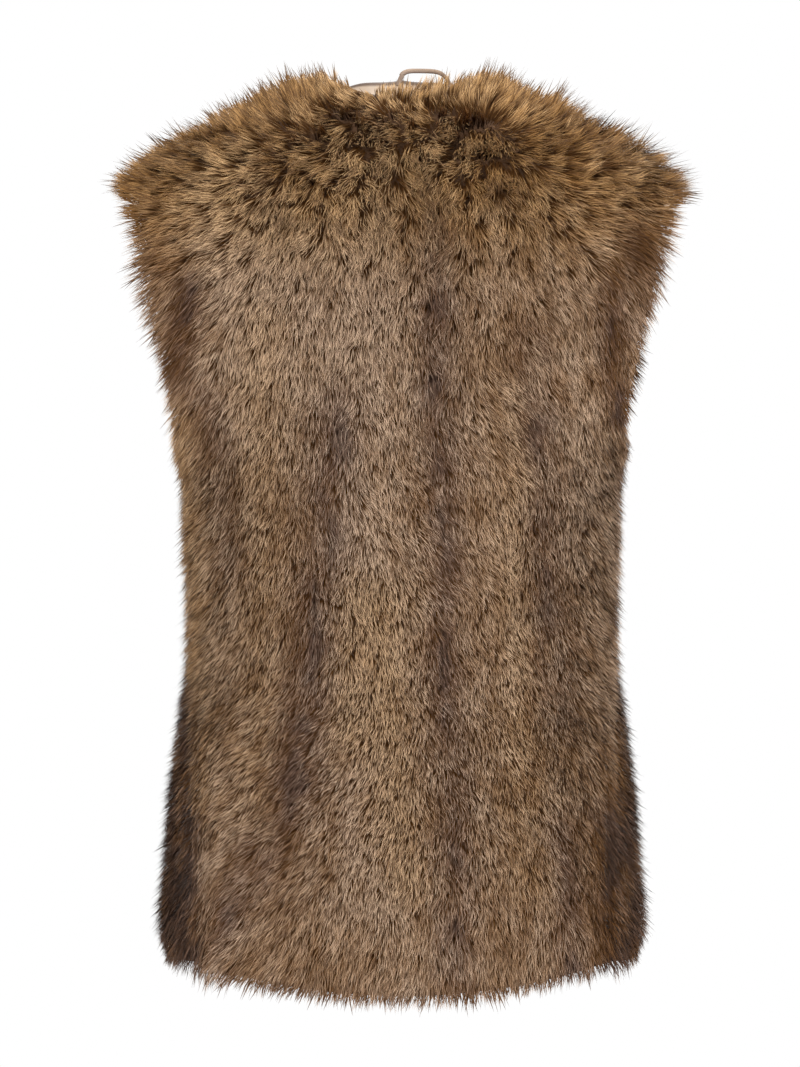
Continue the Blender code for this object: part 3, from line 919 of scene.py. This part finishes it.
def fill(tree, node, values):
    """Sets or links a node's inputs."""
    for key, value in values.items():
        if isinstance(value, bpy.types.NodeSocket):
            tree.links.new(value, node.inputs[key])
        else:
            node.inputs[key].default_value = value


def put(tree, kind, values=None, out=0, **settings):
    """Adds a node, sets or links its inputs, and returns one of its outputs."""
    node = tree.nodes.new(kind)
    for name, value in settings.items():
        setattr(node, name, value)
    fill(tree, node, values or {})
    return node.outputs[out]


def maths(tree, operation, *values):
    """A Math node."""
    return put(tree, "ShaderNodeMath", dict(enumerate(values)), operation=operation)


def vectors(tree, operation, *values):
    """A Vector Math node."""
    return put(tree, "ShaderNodeVectorMath", dict(enumerate(values)), operation=operation)


def scaled(tree, vector, share):
    """A vector times a number."""
    return put(tree, "ShaderNodeVectorMath", {0: vector, "Scale": share}, operation="SCALE")


def summed(tree, *values):
    """The sum of several vectors."""
    total = values[0]
    for value in values[1:]:
        total = vectors(tree, "ADD", total, value)
    return total


def turned_way(tree, first, second, angle):
    """The first of two directions, turned towards the second by an angle."""
    kept = scaled(tree, first, maths(tree, "COSINE", angle))
    return summed(tree, kept, scaled(tree, second, maths(tree, "SINE", angle)))


def named(tree, name, kind="FLOAT"):
    """A named attribute."""
    return put(tree, "GeometryNodeInputNamedAttribute", {"Name": name}, data_type=kind)


def stored(tree, geometry, name, value, kind="FLOAT"):
    """The geometry with a value kept on its points."""
    values = {"Geometry": geometry, "Name": name, "Value": value}
    return put(tree, "GeometryNodeStoreNamedAttribute", values, data_type=kind, domain="POINT")


def chance(tree, low, high, seed, key=None):
    """A random number for each point, or for each key."""
    values = {2: low, 3: high, "Seed": seed}
    if key is not None:
        values["ID"] = key
    return put(tree, "FunctionNodeRandomValue", values, out=1, data_type="FLOAT")


def mixture(tree, rows):
    """Adds up facts, each times a share that grows with the ruffle."""
    total = None
    for fact, always, per_ruffle in rows:
        share = maths(tree, "MULTIPLY_ADD", named(tree, "ruffle"), per_ruffle, always)
        added = (named(tree, fact), share) + (() if total is None else (total,))
        total = maths(tree, "MULTIPLY" if total is None else "MULTIPLY_ADD", *added)
    return total


def new_tree(name, kind, inputs, outputs):
    """A node tree, and the sockets of its named inputs and outputs. An input may end with its value."""
    tree = bpy.data.node_groups.new(name, kind)
    for label, socket, *value in inputs:
        made = tree.interface.new_socket(label, in_out="INPUT", socket_type=socket)
        if value:
            made.default_value = value[0]
    for label, socket in outputs:
        tree.interface.new_socket(label, in_out="OUTPUT", socket_type=socket)
    return tree, tree.nodes.new("NodeGroupInput").outputs, tree.nodes.new("NodeGroupOutput").inputs


def hair_blade(tree):
    """One flat tapering hair of one square and a pointed end, along Y."""
    sizes = {"Size X": 1.0, "Size Y": 1.0, "Vertices X": 2, "Vertices Y": 3}
    grid = put(tree, "GeometryNodeMeshGrid", sizes)
    place = put(tree, "ShaderNodeSeparateXYZ", {0: put(tree, "GeometryNodeInputPosition")}).node.outputs
    along = maths(tree, "ADD", place["Y"], 0.5)
    left = maths(tree, "SUBTRACT", 1.0, maths(tree, "POWER", along, 2.0))
    thin = maths(tree, "SQRT", maths(tree, "MAXIMUM", left, 0.0))
    grid = stored(tree, grid, "along", along)
    grid = stored(tree, grid, "aside", maths(tree, "MULTIPLY", place["X"], thin))
    taper = put(tree, "ShaderNodeCombineXYZ", {"X": named(tree, "aside"), "Y": named(tree, "along")})
    grid = put(tree, "GeometryNodeSetPosition", {"Geometry": grid, "Position": taper})
    return put(tree, "GeometryNodeMergeByDistance", {"Geometry": grid, "Distance": 0.001})


def scattered(tree, mesh, density, seed):
    """Points scattered on a cloth."""
    values = {"Mesh": mesh, "Density": density, "Seed": seed}
    return put(tree, "GeometryNodeDistributePointsOnFaces", values, distribute_method="RANDOM")


def gathered(tree, middles, here):
    """The nearest of some middles, and the way to it."""
    values = {"Geometry": middles, "Sample Position": here}
    nearest = put(tree, "GeometryNodeSampleNearest", values, domain="POINT")
    values = {"Geometry": middles, "Value": here, "Index": nearest}
    middle = put(tree, "GeometryNodeSampleIndex", values, data_type="FLOAT_VECTOR", domain="POINT")
    return nearest, vectors(tree, "SUBTRACT", middle, here)


def noise(tree, place, scale, detail, spread):
    """A noise read at a place, spread out and moved."""
    value = put(tree, "ShaderNodeTexNoise", {"Vector": place, "Scale": scale, "Detail": detail})
    return maths(tree, "MULTIPLY_ADD", value, *spread)


def told_points(tree, given):
    """The hairs' roots with every fact that a hair needs."""
    mesh, seed = given["Geometry"], given["Seed"]
    points = scattered(tree, mesh, given["Hairs"], seed)
    here = put(tree, "GeometryNodeInputPosition")
    locks = scattered(tree, mesh, given["Locks"], maths(tree, "ADD", seed, LOCK_SEED))
    tufts = scattered(tree, mesh, given["Tufts"], maths(tree, "ADD", seed, TUFT_SEED))
    lock, to_lock = gathered(tree, locks, here)
    tuft, to_tuft = gathered(tree, tufts, here)
    points = stored(tree, points, "root", here, "FLOAT_VECTOR")
    points = stored(tree, points, "pull", to_lock, "FLOAT_VECTOR")
    points = stored(tree, points, "tuft_pull", to_tuft, "FLOAT_VECTOR")
    shared = {"lock": lock, "tuft": tuft, None: None}
    for fact, low, high, own_seed, group in CHANCES:
        points = stored(tree, points, fact, chance(tree, low, high, own_seed, shared[group]))
    drawn = vectors(tree, "MULTIPLY", here, DRAWN_OUT)
    points = stored(tree, points, "patch", noise(tree, drawn, given["Patches"], 3.0, PATCH_SPREAD))
    broken = vectors(tree, "ADD", drawn, BREAKS_SHIFT)
    uneven = noise(tree, broken, given["Breaks"], 2.0, BREAKS_SPREAD)
    points = stored(tree, points, "band", maths(tree, "MULTIPLY", named(tree, "band"), uneven))
    return stored(tree, points, "eddy", noise(tree, here, given["Eddies"], 1.0, EDDY_SPREAD))


def pile_tree(material):
    """Grows the pile on a cloth whose points say how it lies and stands."""
    tree, given, result = new_tree("fur_pile", "GeometryNodeTree", PILE_INPUTS, PILE_OUTPUTS)
    values = {"Points": told_points(tree, given), "Instance": hair_blade(tree)}
    hairs = put(tree, "GeometryNodeInstanceOnPoints", values)
    hairs = put(tree, "GeometryNodeRealizeInstances", {"Geometry": hairs})

    along, ruffle, out = named(tree, "along"), named(tree, "ruffle"), named(tree, "out", "FLOAT_VECTOR")
    lie = named(tree, "lie", "FLOAT_VECTOR")
    swing = mixture(tree, SWINGS)
    beside = vectors(tree, "CROSS_PRODUCT", out, lie)
    flow = turned_way(tree, lie, beside, swing)
    lift = mixture(tree, LIFTS)

    def heading(lean):
        """Which way a hair goes where it leans off the cloth by this fact."""
        return turned_way(tree, flow, out, maths(tree, "ADD", named(tree, lean), lift))

    first, last = heading("root_lean"), heading("tip_lean")
    late = maths(tree, "MULTIPLY", maths(tree, "POWER", along, 2.0), 0.5)
    early = maths(tree, "SUBTRACT", along, late)
    spread = maths(tree, "SUBTRACT", named(tree, "hair_tone"), 0.5)
    spread = maths(tree, "MULTIPLY", spread, given["Length Spread"])
    longer = maths(tree, "ADD", 1.0, maths(tree, "MULTIPLY", spread, 2.0))
    is_guard = maths(tree, "LESS_THAN", named(tree, "guard"), given["Guard Share"])
    guard_more = maths(tree, "MULTIPLY_ADD", named(tree, "bristle"), given["Guard Length"], GUARD_LEAST)
    guard_more = maths(tree, "MULTIPLY", is_guard, guard_more)
    size = maths(tree, "MULTIPLY", named(tree, "reach"), maths(tree, "ADD", longer, guard_more))
    course = summed(tree, scaled(tree, first, early), scaled(tree, last, late))
    late_pull = maths(tree, "POWER", along, PULL_POWER)
    clump = maths(tree, "MULTIPLY_ADD", ruffle, given["Ruffled Clump"], given["Clump"])
    gather = maths(tree, "MULTIPLY", late_pull, clump)
    tuft_gather = maths(tree, "MULTIPLY", maths(tree, "MULTIPLY", late_pull, ruffle), given["Tuft Clump"])
    still_first = scaled(tree, first, maths(tree, "SUBTRACT", 1.0, along))
    now = vectors(tree, "NORMALIZE", summed(tree, still_first, scaled(tree, last, along)))
    flat = vectors(tree, "NORMALIZE", vectors(tree, "CROSS_PRODUCT", now, out))
    side = turned_way(tree, flat, out, named(tree, "hair_roll"))
    thicker = maths(tree, "SUBTRACT", given["Guard Width"], 1.0)
    thicker = maths(tree, "MULTIPLY_ADD", is_guard, thicker, 1.0)
    width = maths(tree, "MULTIPLY", named(tree, "aside"), given["Hair Width"])
    width = maths(tree, "MULTIPLY", width, thicker)
    pull, tuft_pull = named(tree, "pull", "FLOAT_VECTOR"), named(tree, "tuft_pull", "FLOAT_VECTOR")
    place = summed(
        tree,
        named(tree, "root", "FLOAT_VECTOR"),
        scaled(tree, course, size),
        scaled(tree, pull, gather),
        scaled(tree, tuft_pull, tuft_gather),
        scaled(tree, side, width),
    )
    facing = vectors(tree, "CROSS_PRODUCT", side, now)
    shade = summed(
        tree,
        scaled(tree, out, CLOTH_LIT),
        scaled(tree, facing, HAIR_LIT),
        scaled(tree, pull, -LOCK_ROUNDING),
        scaled(tree, scaled(tree, tuft_pull, ruffle), -TUFT_ROUNDING),
    )
    hairs = stored(tree, hairs, "shade", vectors(tree, "NORMALIZE", shade), "FLOAT_VECTOR")
    hairs = stored(tree, hairs, "tone", mixture(tree, TONES))
    hairs = put(tree, "GeometryNodeSetPosition", {"Geometry": hairs, "Position": place})
    hairs = put(tree, "GeometryNodeSetMaterial", {"Geometry": hairs, "Material": material})
    tree.links.new(hairs, result["Geometry"])
    return tree


def set_inputs(modifier, tree, values):
    """Sets a Geometry Nodes modifier's named inputs by their identifiers."""
    for item in tree.interface.items_tree:
        if item.in_out == "INPUT" and item.name in values:
            modifier[item.identifier] = values[item.name]


def plain_mesh(carrier, name):
    """The mesh that a carrier's modifiers make, and the carrier removed."""
    graph = bpy.context.evaluated_depsgraph_get()
    mesh = bpy.data.meshes.new_from_object(
        carrier.evaluated_get(graph), preserve_all_data_layers=True, depsgraph=graph
    )
    mesh.name = name
    bpy.data.objects.remove(carrier, do_unlink=True)
    return mesh


def grow_pile(name, tree, material, points, facts, rows, inputs):
    """Grows the pile of some rows of a cloth's points, as one plain mesh."""
    part = slice(*rows)
    patch = points[part]
    mesh = new_mesh(name + "_carrier", patch, grid_faces(*patch.shape[:2]))
    mesh.materials.append(material)
    for fact, values in facts.items():
        keep_fact(mesh, fact, values[part])
    carrier = bpy.data.objects.new(name + "_carrier", mesh)
    bpy.context.scene.collection.objects.link(carrier)
    modifier = carrier.modifiers.new("pile", "NODES")
    modifier.node_group = tree
    set_inputs(modifier, tree, inputs)
    pile = plain_mesh(carrier, name)
    normals = np.empty(len(pile.vertices) * 3, np.float32)
    pile.attributes["shade"].data.foreach_get("vector", normals)
    for fact in PASSING_FACTS:
        pile.attributes.remove(pile.attributes[fact])
    pile.shade_smooth()
    pile.normals_split_custom_set_from_vertices(normals.reshape(-1, 3))
    return new_piece(name, pile, "fur")


def mixed(tree, share, first, second, blend="MIX"):
    """A mix of two colours, which are inputs 6 and 7 of the Mix node."""
    values = {0: share, 6: first, 7: second}
    return put(tree, "ShaderNodeMix", values, out=2, data_type="RGBA", blend_type=blend)


def between(tree, value, low, high, start=0.0, end=1.0):
    """A smooth map of one range to another."""
    values = {"Value": value, "From Min": low, "From Max": high, "To Min": start, "To Max": end}
    return put(tree, "ShaderNodeMapRange", values, interpolation_type="SMOOTHSTEP")


def pelt_colour_group():
    """The fur's colour: taupe, golden on the yoke, dark in the streaks and in the painted shade of creases
    and flanks, at the roots and guard tips.
    """
    group, given, result = new_tree(
        "pelt_colour",
        "ShaderNodeTree",
        (
            ("Band", "NodeSocketFloat", 0.0),
            ("Gold", "NodeSocketFloat", 0.0),
            ("Tone", "NodeSocketFloat", 0.5),
            ("Along", "NodeSocketFloat", 0.0),
            ("Guard", "NodeSocketFloat", 0.0),
        ),
        (("Colour", "NodeSocketColor"),),
    )
    band, gold, tone, along = (given[label] for label in ("Band", "Gold", "Tone", "Along"))
    fur = {name: mixed(group, gold, *pair) for name, pair in FUR_COLOURS.items()}
    cool = maths(group, "MULTIPLY", band, maths(group, "MULTIPLY_ADD", gold, MAUVE_ON_GOLD, 1.0))
    colour = mixed(group, cool, fur["usual"], MAUVE)
    lit = mixed(group, 0.5, mixed(group, 1.0, colour, BRIGHTER, "MULTIPLY"), fur["pale"])
    streak = between(group, band, *STRONG_STREAK)
    deep = mixed(group, streak, fur["deep"], fur["shadow"])
    root = mixed(group, streak, ROOT_COLOUR, fur["shadow"])
    deep = mixed(group, between(group, tone, *DEEP_TONES), fur["shadow"], deep)
    colour = mixed(group, between(group, tone, *USUAL_TONES), deep, colour)
    colour = mixed(group, between(group, tone, *LIT_TONES), colour, lit)
    colour = mixed(group, between(group, along, *ROOT_ALONG), colour, root)
    darkened = maths(group, "MULTIPLY_ADD", band, *DARK_GUARDS)
    ahead = maths(group, "SUBTRACT", darkened, given["Guard"])
    picked = between(group, ahead, -GUARD_EDGE, GUARD_EDGE)
    dark_tip = maths(group, "MULTIPLY", between(group, along, *TIP_ALONG), picked)
    colour = mixed(group, maths(group, "MULTIPLY", dark_tip, TIP_STRENGTH), colour, TIP_COLOUR)
    group.links.new(colour, result["Colour"])
    return group


def weave_group():
    """Fine threads across and along, by the piece's own coordinates."""
    group, given, result = new_tree(
        "satin_weave",
        "ShaderNodeTree",
        (("Threads", "NodeSocketFloat", 2200.0), ("Unevenness", "NodeSocketFloat", 0.25)),
        (("Height", "NodeSocketFloat"), ("Shade", "NodeSocketFloat")),
    )
    place = put(group, "ShaderNodeTexCoord", out=3)
    threads = put(
        group,
        "ShaderNodeTexWave",
        {"Vector": place, "Scale": given["Threads"], "Distortion": 1.5},
        out=1,
        wave_type="BANDS",
        bands_direction="DIAGONAL",
    )
    slub = put(group, "ShaderNodeTexNoise", {"Vector": place, "Scale": 90.0, "Detail": 3.0})
    group.links.new(maths(group, "MULTIPLY_ADD", slub, given["Unevenness"], threads), result["Height"])
    group.links.new(between(group, slub, 0.3, 0.7, 0.86, 1.08), result["Shade"])
    return group


def new_material(name):
    """A material, its node tree and its Principled shader."""
    material = bpy.data.materials.new(name)
    material.use_nodes = True
    return material, material.node_tree, material.node_tree.nodes["Principled BSDF"]


def put_group(tree, group, values):
    """Adds a shader group to a material and returns its outputs."""
    node = tree.nodes.new("ShaderNodeGroup")
    node.node_tree = group
    fill(tree, node, values)
    return node.outputs


def attribute(tree, name):
    """A number kept on a mesh's points."""
    return put(tree, "ShaderNodeAttribute", out=2, attribute_name=name)


def make_pile_material(pelt):
    """The hairs, which are tinted by the facts that they keep."""
    material, tree, shader = new_material("fur_pile")
    values = {label: attribute(tree, label.lower()) for label in ("Band", "Gold", "Tone", "Along", "Guard")}
    tree.links.new(put_group(tree, pelt, values)["Colour"], shader.inputs["Base Color"])
    shader.inputs["Roughness"].default_value = 0.50
    shader.inputs["Specular IOR Level"].default_value = 0.05
    return material


def make_skin_material(pelt):
    """The fur cloth's own outer side, under the pile."""
    material, tree, shader = new_material("fur_cloth")
    place = put(tree, "ShaderNodeTexCoord", out=3)
    tuft = put(tree, "ShaderNodeTexNoise", {"Vector": place, "Scale": 420.0, "Detail": 2.0})
    values = {
        "Band": attribute(tree, "band"),
        "Gold": attribute(tree, "gold"),
        "Tone": tuft,
        "Along": 0.12,
    }
    tree.links.new(put_group(tree, pelt, values)["Colour"], shader.inputs["Base Color"])
    bump = put(tree, "ShaderNodeBump", {"Height": tuft, "Strength": 0.6, "Distance": 0.001})
    tree.links.new(bump, shader.inputs["Normal"])
    shader.inputs["Roughness"].default_value = 0.85
    shader.inputs["Sheen Weight"].default_value = 0.2
    return material


def make_satin(weave, name, tint, threads, roughness):
    """A satin of one colour with its own thread count, darkened by painted shade where the piece marks a
    rim.
    """
    material, tree, shader = new_material(name)
    cloth = put_group(tree, weave, {"Threads": threads})
    shade = put(tree, "ShaderNodeCombineXYZ", {0: cloth["Shade"], 1: cloth["Shade"], 2: cloth["Shade"]})
    colour = mixed(tree, 1.0, tint, shade, "MULTIPLY")
    rim_shade = maths(tree, "MULTIPLY", attribute(tree, "rim_shade"), RIM_SHADE_STRENGTH)
    tree.links.new(mixed(tree, rim_shade, colour, RIM_SHADE_COLOUR), shader.inputs["Base Color"])
    bump = put(tree, "ShaderNodeBump", {"Height": cloth["Height"], "Strength": 0.25, "Distance": 0.0002})
    tree.links.new(bump, shader.inputs["Normal"])
    shader.inputs["Roughness"].default_value = roughness
    shader.inputs["Sheen Weight"].default_value = 0.15
    return material


def cloth_points(part, side):
    """A fur cloth's inner and outer points, kept apart from its neighbours at the seams, and its facts."""
    u, t = cloth_grid(part, side)
    axes = directions(part, u, t)
    across, _, out = axes
    edge = (np.abs(u) > 1 - EDGE_SLACK)[..., None] * np.sign(u)[..., None]
    base = surface(part, u, t) - across * edge * CLOTH_GAP / 2
    base[..., 1] += panel_size(part, "facing") * CLOTH_GAP / 2
    base[..., 0] += side * FRONT_GAP / 2 * (1 - np.abs(u))
    facts = pile_facts(part, side, u, t, base, axes)
    return base + out * CLOTH_NEAR, base + out * CLOTH_FAR, facts


def pile_facts(part, side, u, t, base, axes):
    """What each point of a fur cloth tells its pile: how to lie, stand, reach and be tinted."""
    across, up, out = axes
    height = base[..., 2]
    near_side = ease(np.abs(u), *NEAR_SIDE)
    low_side = near_side * (1 - ease(height, *BELOW_WAIST))
    low_end = 1 - ease(t, *NEAR_HEM)
    if side:
        own = base * (side, 1, 1)
        # A front's painted flank shade only falls where the flank is seen from behind
        behind = ease(base[..., 1], *SEEN_BEHIND)
        turn = lie_of_pile(FRONT_LIE_ROWS, own) * side
        shift = tone_shift(FRONT_FLANK_SHADE_TONES, own) * behind
        flank_shade = streaks(FRONT_FLANK_SHADE_STREAKS, own) * behind
        longer = longer_share(FRONT_REACH_ROWS, own)
    else:
        turn = lie_of_pile(LIE_ROWS, base)
        shift = tone_shift(TONE_ROWS, base)
        flank_shade = 0
        longer = longer_share(REACH_ROWS, base)

    def by_height(name):
        """How the pile stands, by height."""
        return smooth_column(STAND_ROWS, STAND_COLUMNS, name, height)

    root_lean = np.radians(by_height("root_lean"))
    tip_lean = np.radians(by_height("tip_lean")) * (1 - FLATTER_AT_SIDE * low_side)
    stand = (np.sin(root_lean) + np.sin(tip_lean)) / 2
    shorter = SHORTER_AT_ARMHOLE * np.abs(u) ** 5 * ease(height, *OVER_UNDERARM)
    flank = low_side * ease(height, *HEM_CORNER)
    length = (1 - shorter) * (1 - SHORTER_AT_HEM * low_end) * (1 - SHORTER_AT_SIDE * flank) * (1 + longer)
    depth = pile_depth(base)
    at_armhole = near_side * (1 - ease(height, *ARMHOLE_TOP)) * ease(height, *ARMHOLE_FOOT)
    at_nape = (1 - depth / body("pile", height)) / NAPE_SHARE
    ruffle = by_height("ruffle") * (1 - CALMER_AT_ARMHOLE * at_armhole)
    seen = base * (panel_size(part, "facing"), 1, 1)
    return {
        "lie": lie_as_seen(turn * (1 - low_side), across, up, out),
        "out": out,
        "reach": (depth - CLOTH_FAR) / stand * length,
        # shift and band carry painted shade in creases, on the flanks and along the hem, besides the fur's
        # own tones and stripes
        "shift": shift - HEM_SHADE * low_end,
        "ruffle": ruffle,
        "bristle": ruffle * (1 - PLAINER_AT_ARMHOLE * at_armhole) * (1 - at_nape),
        "band": 1 - (1 - streaks(DARK_ROWS, seen)) * (1 - HEM_BAND * low_end) * (1 - flank_shade),
        "gold": 1 - (1 - streaks(GOLD_ROWS, seen)) * (1 - ease(height, *YOKE)),
        "root_lean": root_lean,
        "tip_lean": tip_lean,
    }


def make_fur_panel(node, part, side, flat, area, patches, hairs, width, tree, pile, materials):
    """A fur cloth and the patches of pile that grow on it."""
    inner, outer, facts = cloth_points(part, side)
    mesh = closed_sheet(node + "_cloth", inner, outer)
    outer_faces = (inner.shape[0] - 1) * (inner.shape[1] - 1)
    for material in materials:
        mesh.materials.append(material)
    sides = np.ones(len(mesh.polygons), np.int32)
    sides[:outer_faces] = 0
    mesh.polygons.foreach_set("material_index", sides)
    for name in ("band", "gold"):
        keep_fact(mesh, name, np.tile(facts[name].ravel(), 2))
    cloth = new_piece(node + "_cloth", mesh, "fur", node)
    cuts = np.linspace(0, outer.shape[0] - 1, patches + 1).astype(int)
    for index, (low, high) in enumerate(zip(cuts, cuts[1:])):
        name = f"{node}_pile_{index + 1}"
        inputs = {"Hairs": hairs, "Hair Width": width, "Seed": SEEDS_APART * len(node) + index}
        grow_pile(name, tree, pile, outer, facts, (low, high + 1), inputs)
    return cloth


def lining_stand(u):
    """How far up its stand at the back of the neck the lining's top edge is, as a share of the most."""
    return np.clip(1 - np.abs(u / neck_column("back")) ** 3, 0, 1)


def lining_side(t):
    """The u of the lining's side edge: at the side seam, and short of the armhole's edge above it."""
    underarm = underarm_row("back")
    return 1 - LINING_ARMHOLE_INSET * ease(t, underarm + LINING_ARMHOLE_FROM, underarm + LINING_ARMHOLE_TO)


def lining_faces(u, t):
    """The lining's two faces behind the back panel's inner side, and the way out."""
    points = surface("back", u, t)
    out = directions("back", u, t)[2]
    points[..., 1] += SEAM_GAP / 2
    near = points - out * LINING_GAP
    return near - out * LINING_WALL, near, out


def lining_edge(u):
    """The two faces' top edge, which stands straight up above the fur's edge behind the neck."""
    stand = lining_stand(u)[..., None]
    inner, outer, out = lining_faces(u, 2 - LINING_SEAM_INSET * (1 - stand[..., 0]))
    level = unit(out * (1, 1, 0))
    moved = np.array((0, 0, LINING_RISE)) * stand - level * LINING_LEAN * stand
    return inner + moved, outer + moved, level


def make_back_lining(satin):
    """The satin lining behind the back, with its stand at the nape."""
    rows = np.linspace(LINING_HEM, 1, LINING_BODY_ROWS)
    rows = np.concatenate([rows, np.linspace(1, LINING_TOP, LINING_SHOULDER_ROWS)[1:]])
    s, t = np.meshgrid(np.linspace(-1, 1, LINING_COLUMNS), rows)
    u = s * lining_side(t)
    inner, outer = lining_faces(u, t)[:2]
    top = lining_edge(u[-1])[:2]
    shares = np.linspace(0, 1, LINING_STAND_ROWS + 1)[1:, None, None]
    inner = np.concatenate([inner, inner[-1] + (top[0] - inner[-1]) * shares])
    outer = np.concatenate([outer, outer[-1] + (top[1] - outer[-1]) * shares])
    mesh = closed_sheet("back_lining_cloth", inner, outer)
    # Painted shade on the top rows, where the lining's edge rolls over
    rim_shade = np.zeros(inner.shape[:2])
    rim_shade[-LINING_SHADED_ROWS:] = 1
    keep_fact(mesh, "rim_shade", np.tile(rim_shade.ravel(), 2))
    mesh.materials.append(satin)
    piece = new_piece("back_lining_cloth", mesh, "satin", "back_lining")
    return piece


def loop_points():
    """The middle of the hanger loop's ribbon, and the way out of its face."""
    rows = np.array(LOOP_ROWS)
    table = np.column_stack([np.arange(len(rows)), rows])
    names = ("order",) + LOOP_COLUMNS
    places = np.linspace(0, len(rows) - 1, (len(rows) - 1) * LOOP_STEPS + 1)
    across = smooth_column(table, names, "across", places)
    above = smooth_column(table, names, "above", places)
    u = column_at("back", across)
    edge, level = lining_edge(u)[1:]
    below = unit(edge - lining_faces(u, LINING_TOP)[1])
    up = np.where(above[:, None] < 0, below, (0, 0, 1))
    out = level * below[:, 2:] - (0, 0, 1) * (level * below).sum(-1, keepdims=True)
    return edge + up * above[:, None] + out * (SEAM_GAP + LOOP_WALL / 2), out


def make_hanger_loop(satin):
    """A narrow ribbon with rounded selvedges, bent along the loop."""
    points, out = loop_points()
    way = unit(np.gradient(points, axis=0))
    width = unit(np.cross(way, out))
    section = list(RIBBON_SECTION) + [(-a, -b) for a, b in RIBBON_SECTION[1:-1]]
    rings = [points + width * LOOP_WIDTH * a + out * LOOP_WALL * b for a, b in section]
    grid = np.stack(rings, 1)
    rows, columns = grid.shape[:2]
    below = (points[:, None, 2] - grid[..., 2]) / LOOP_WIDTH
    faces = []
    for i in range(rows - 1):
        for j in range(columns):
            k = (j + 1) % columns
            faces.append((i * columns + j, i * columns + k, (i + 1) * columns + k, (i + 1) * columns + j))
    faces.append(tuple(range(columns)))
    faces.append(tuple(range((rows - 1) * columns, rows * columns))[::-1])
    mesh = new_mesh("hanger_loop_ribbon", grid, faces)
    # Painted shade on the ribbon's lower side and on its sewn foot
    foot = 1 - ease(np.arange(rows)[:, None], *FOOT_RINGS)
    rim_shade = RIBBON_LEAST_SHADE + (1 - RIBBON_LEAST_SHADE) * ease(below, *RIBBON_LOWER_SIDE)
    keep_fact(mesh, "rim_shade", np.maximum(rim_shade, FOOT_SHADE * foot))
    turn_outwards(mesh)
    mesh.materials.append(satin)
    return new_piece("hanger_loop_ribbon", mesh, "ribbon", "hanger_loop")


def staged(thing, name):
    """Adds a floor, light or camera to the scene."""
    kept = bpy.data.objects.new(name, thing)
    bpy.context.scene.collection.objects.link(kept)
    return kept


def make_floor():
    """A plain pale floor."""
    corners = [(-1, -1), (1, -1), (1, 1), (-1, 1)]
    points = np.array([(x * FLOOR_HALF, y * FLOOR_HALF, FLOOR_HEIGHT) for x, y in corners])
    floor = staged(new_mesh("floor", points, [(0, 1, 2, 3)]), "floor")
    material, _, shader = new_material("pale_floor")
    shader.inputs["Base Color"].default_value = FLOOR_COLOUR
    shader.inputs["Roughness"].default_value = 0.9
    shader.inputs["Emission Color"].default_value = WHITE
    shader.inputs["Emission Strength"].default_value = FLOOR_GLOW
    floor.data.materials.append(material)


def make_lights():
    """Soft round lights, and a sky that is white to the camera and weaker to the vest."""
    for row in LIGHT_ROWS:
        given = dict(zip(LIGHT_COLUMNS, row))
        light = bpy.data.lights.new(given["name"], "AREA")
        light.shape = "DISK"
        light.size = given["size"]
        light.energy = given["power"]
        lamp = staged(light, given["name"])
        lamp.location = given["place"]
        away = np.subtract(given["place"], given["aim"])
        lamp.rotation_mode = "QUATERNION"
        lamp.rotation_quaternion = Vector(away.tolist()).to_track_quat("Z", "Y")
    world = bpy.data.worlds.new("studio")
    world.use_nodes = True
    tree = world.node_tree
    sky = tree.nodes["Background"]
    sky.inputs["Color"].default_value = WHITE
    seen = put(tree, "ShaderNodeLightPath")
    power = put(tree, "ShaderNodeMapRange", {"Value": seen, "To Min": SKY_POWER, "To Max": 1.0})
    tree.links.new(power, sky.inputs["Strength"])
    bpy.context.scene.world = world


def make_camera():
    """The photograph's camera, level behind the vest."""
    camera = bpy.data.cameras.new("photo_camera")
    camera.sensor_width = SENSOR
    camera.lens = SENSOR * PHOTO_DISTANCE / PHOTO_TALL
    camera.clip_end = 50
    eye = staged(camera, "photo_camera")
    eye.location = (PHOTO_SIDE, PHOTO_DISTANCE, PHOTO_HEIGHT)
    eye.rotation_euler = (math.pi / 2, 0, math.pi)
    bpy.context.scene.camera = eye
    bpy.context.scene.view_settings.view_transform = "Standard"


def main():
    """Makes the studio, the materials and every piece."""
    make_floor()
    make_lights()
    make_camera()
    pelt = pelt_colour_group()
    weave = weave_group()
    pile = make_pile_material(pelt)
    skin = make_skin_material(pelt)
    satin = make_satin(weave, **dict(zip(SATIN_COLUMNS, LINING_SATIN)))
    ribbon = make_satin(weave, **dict(zip(SATIN_COLUMNS, RIBBON_SATIN)))
    tree = pile_tree(pile)
    for row in FUR_ROWS:
        make_fur_panel(**dict(zip(FUR_COLUMNS, row)), tree=tree, pile=pile, materials=(skin, satin))
    make_back_lining(satin)
    make_hanger_loop(ribbon)
    bpy.context.view_layer.update()


main()
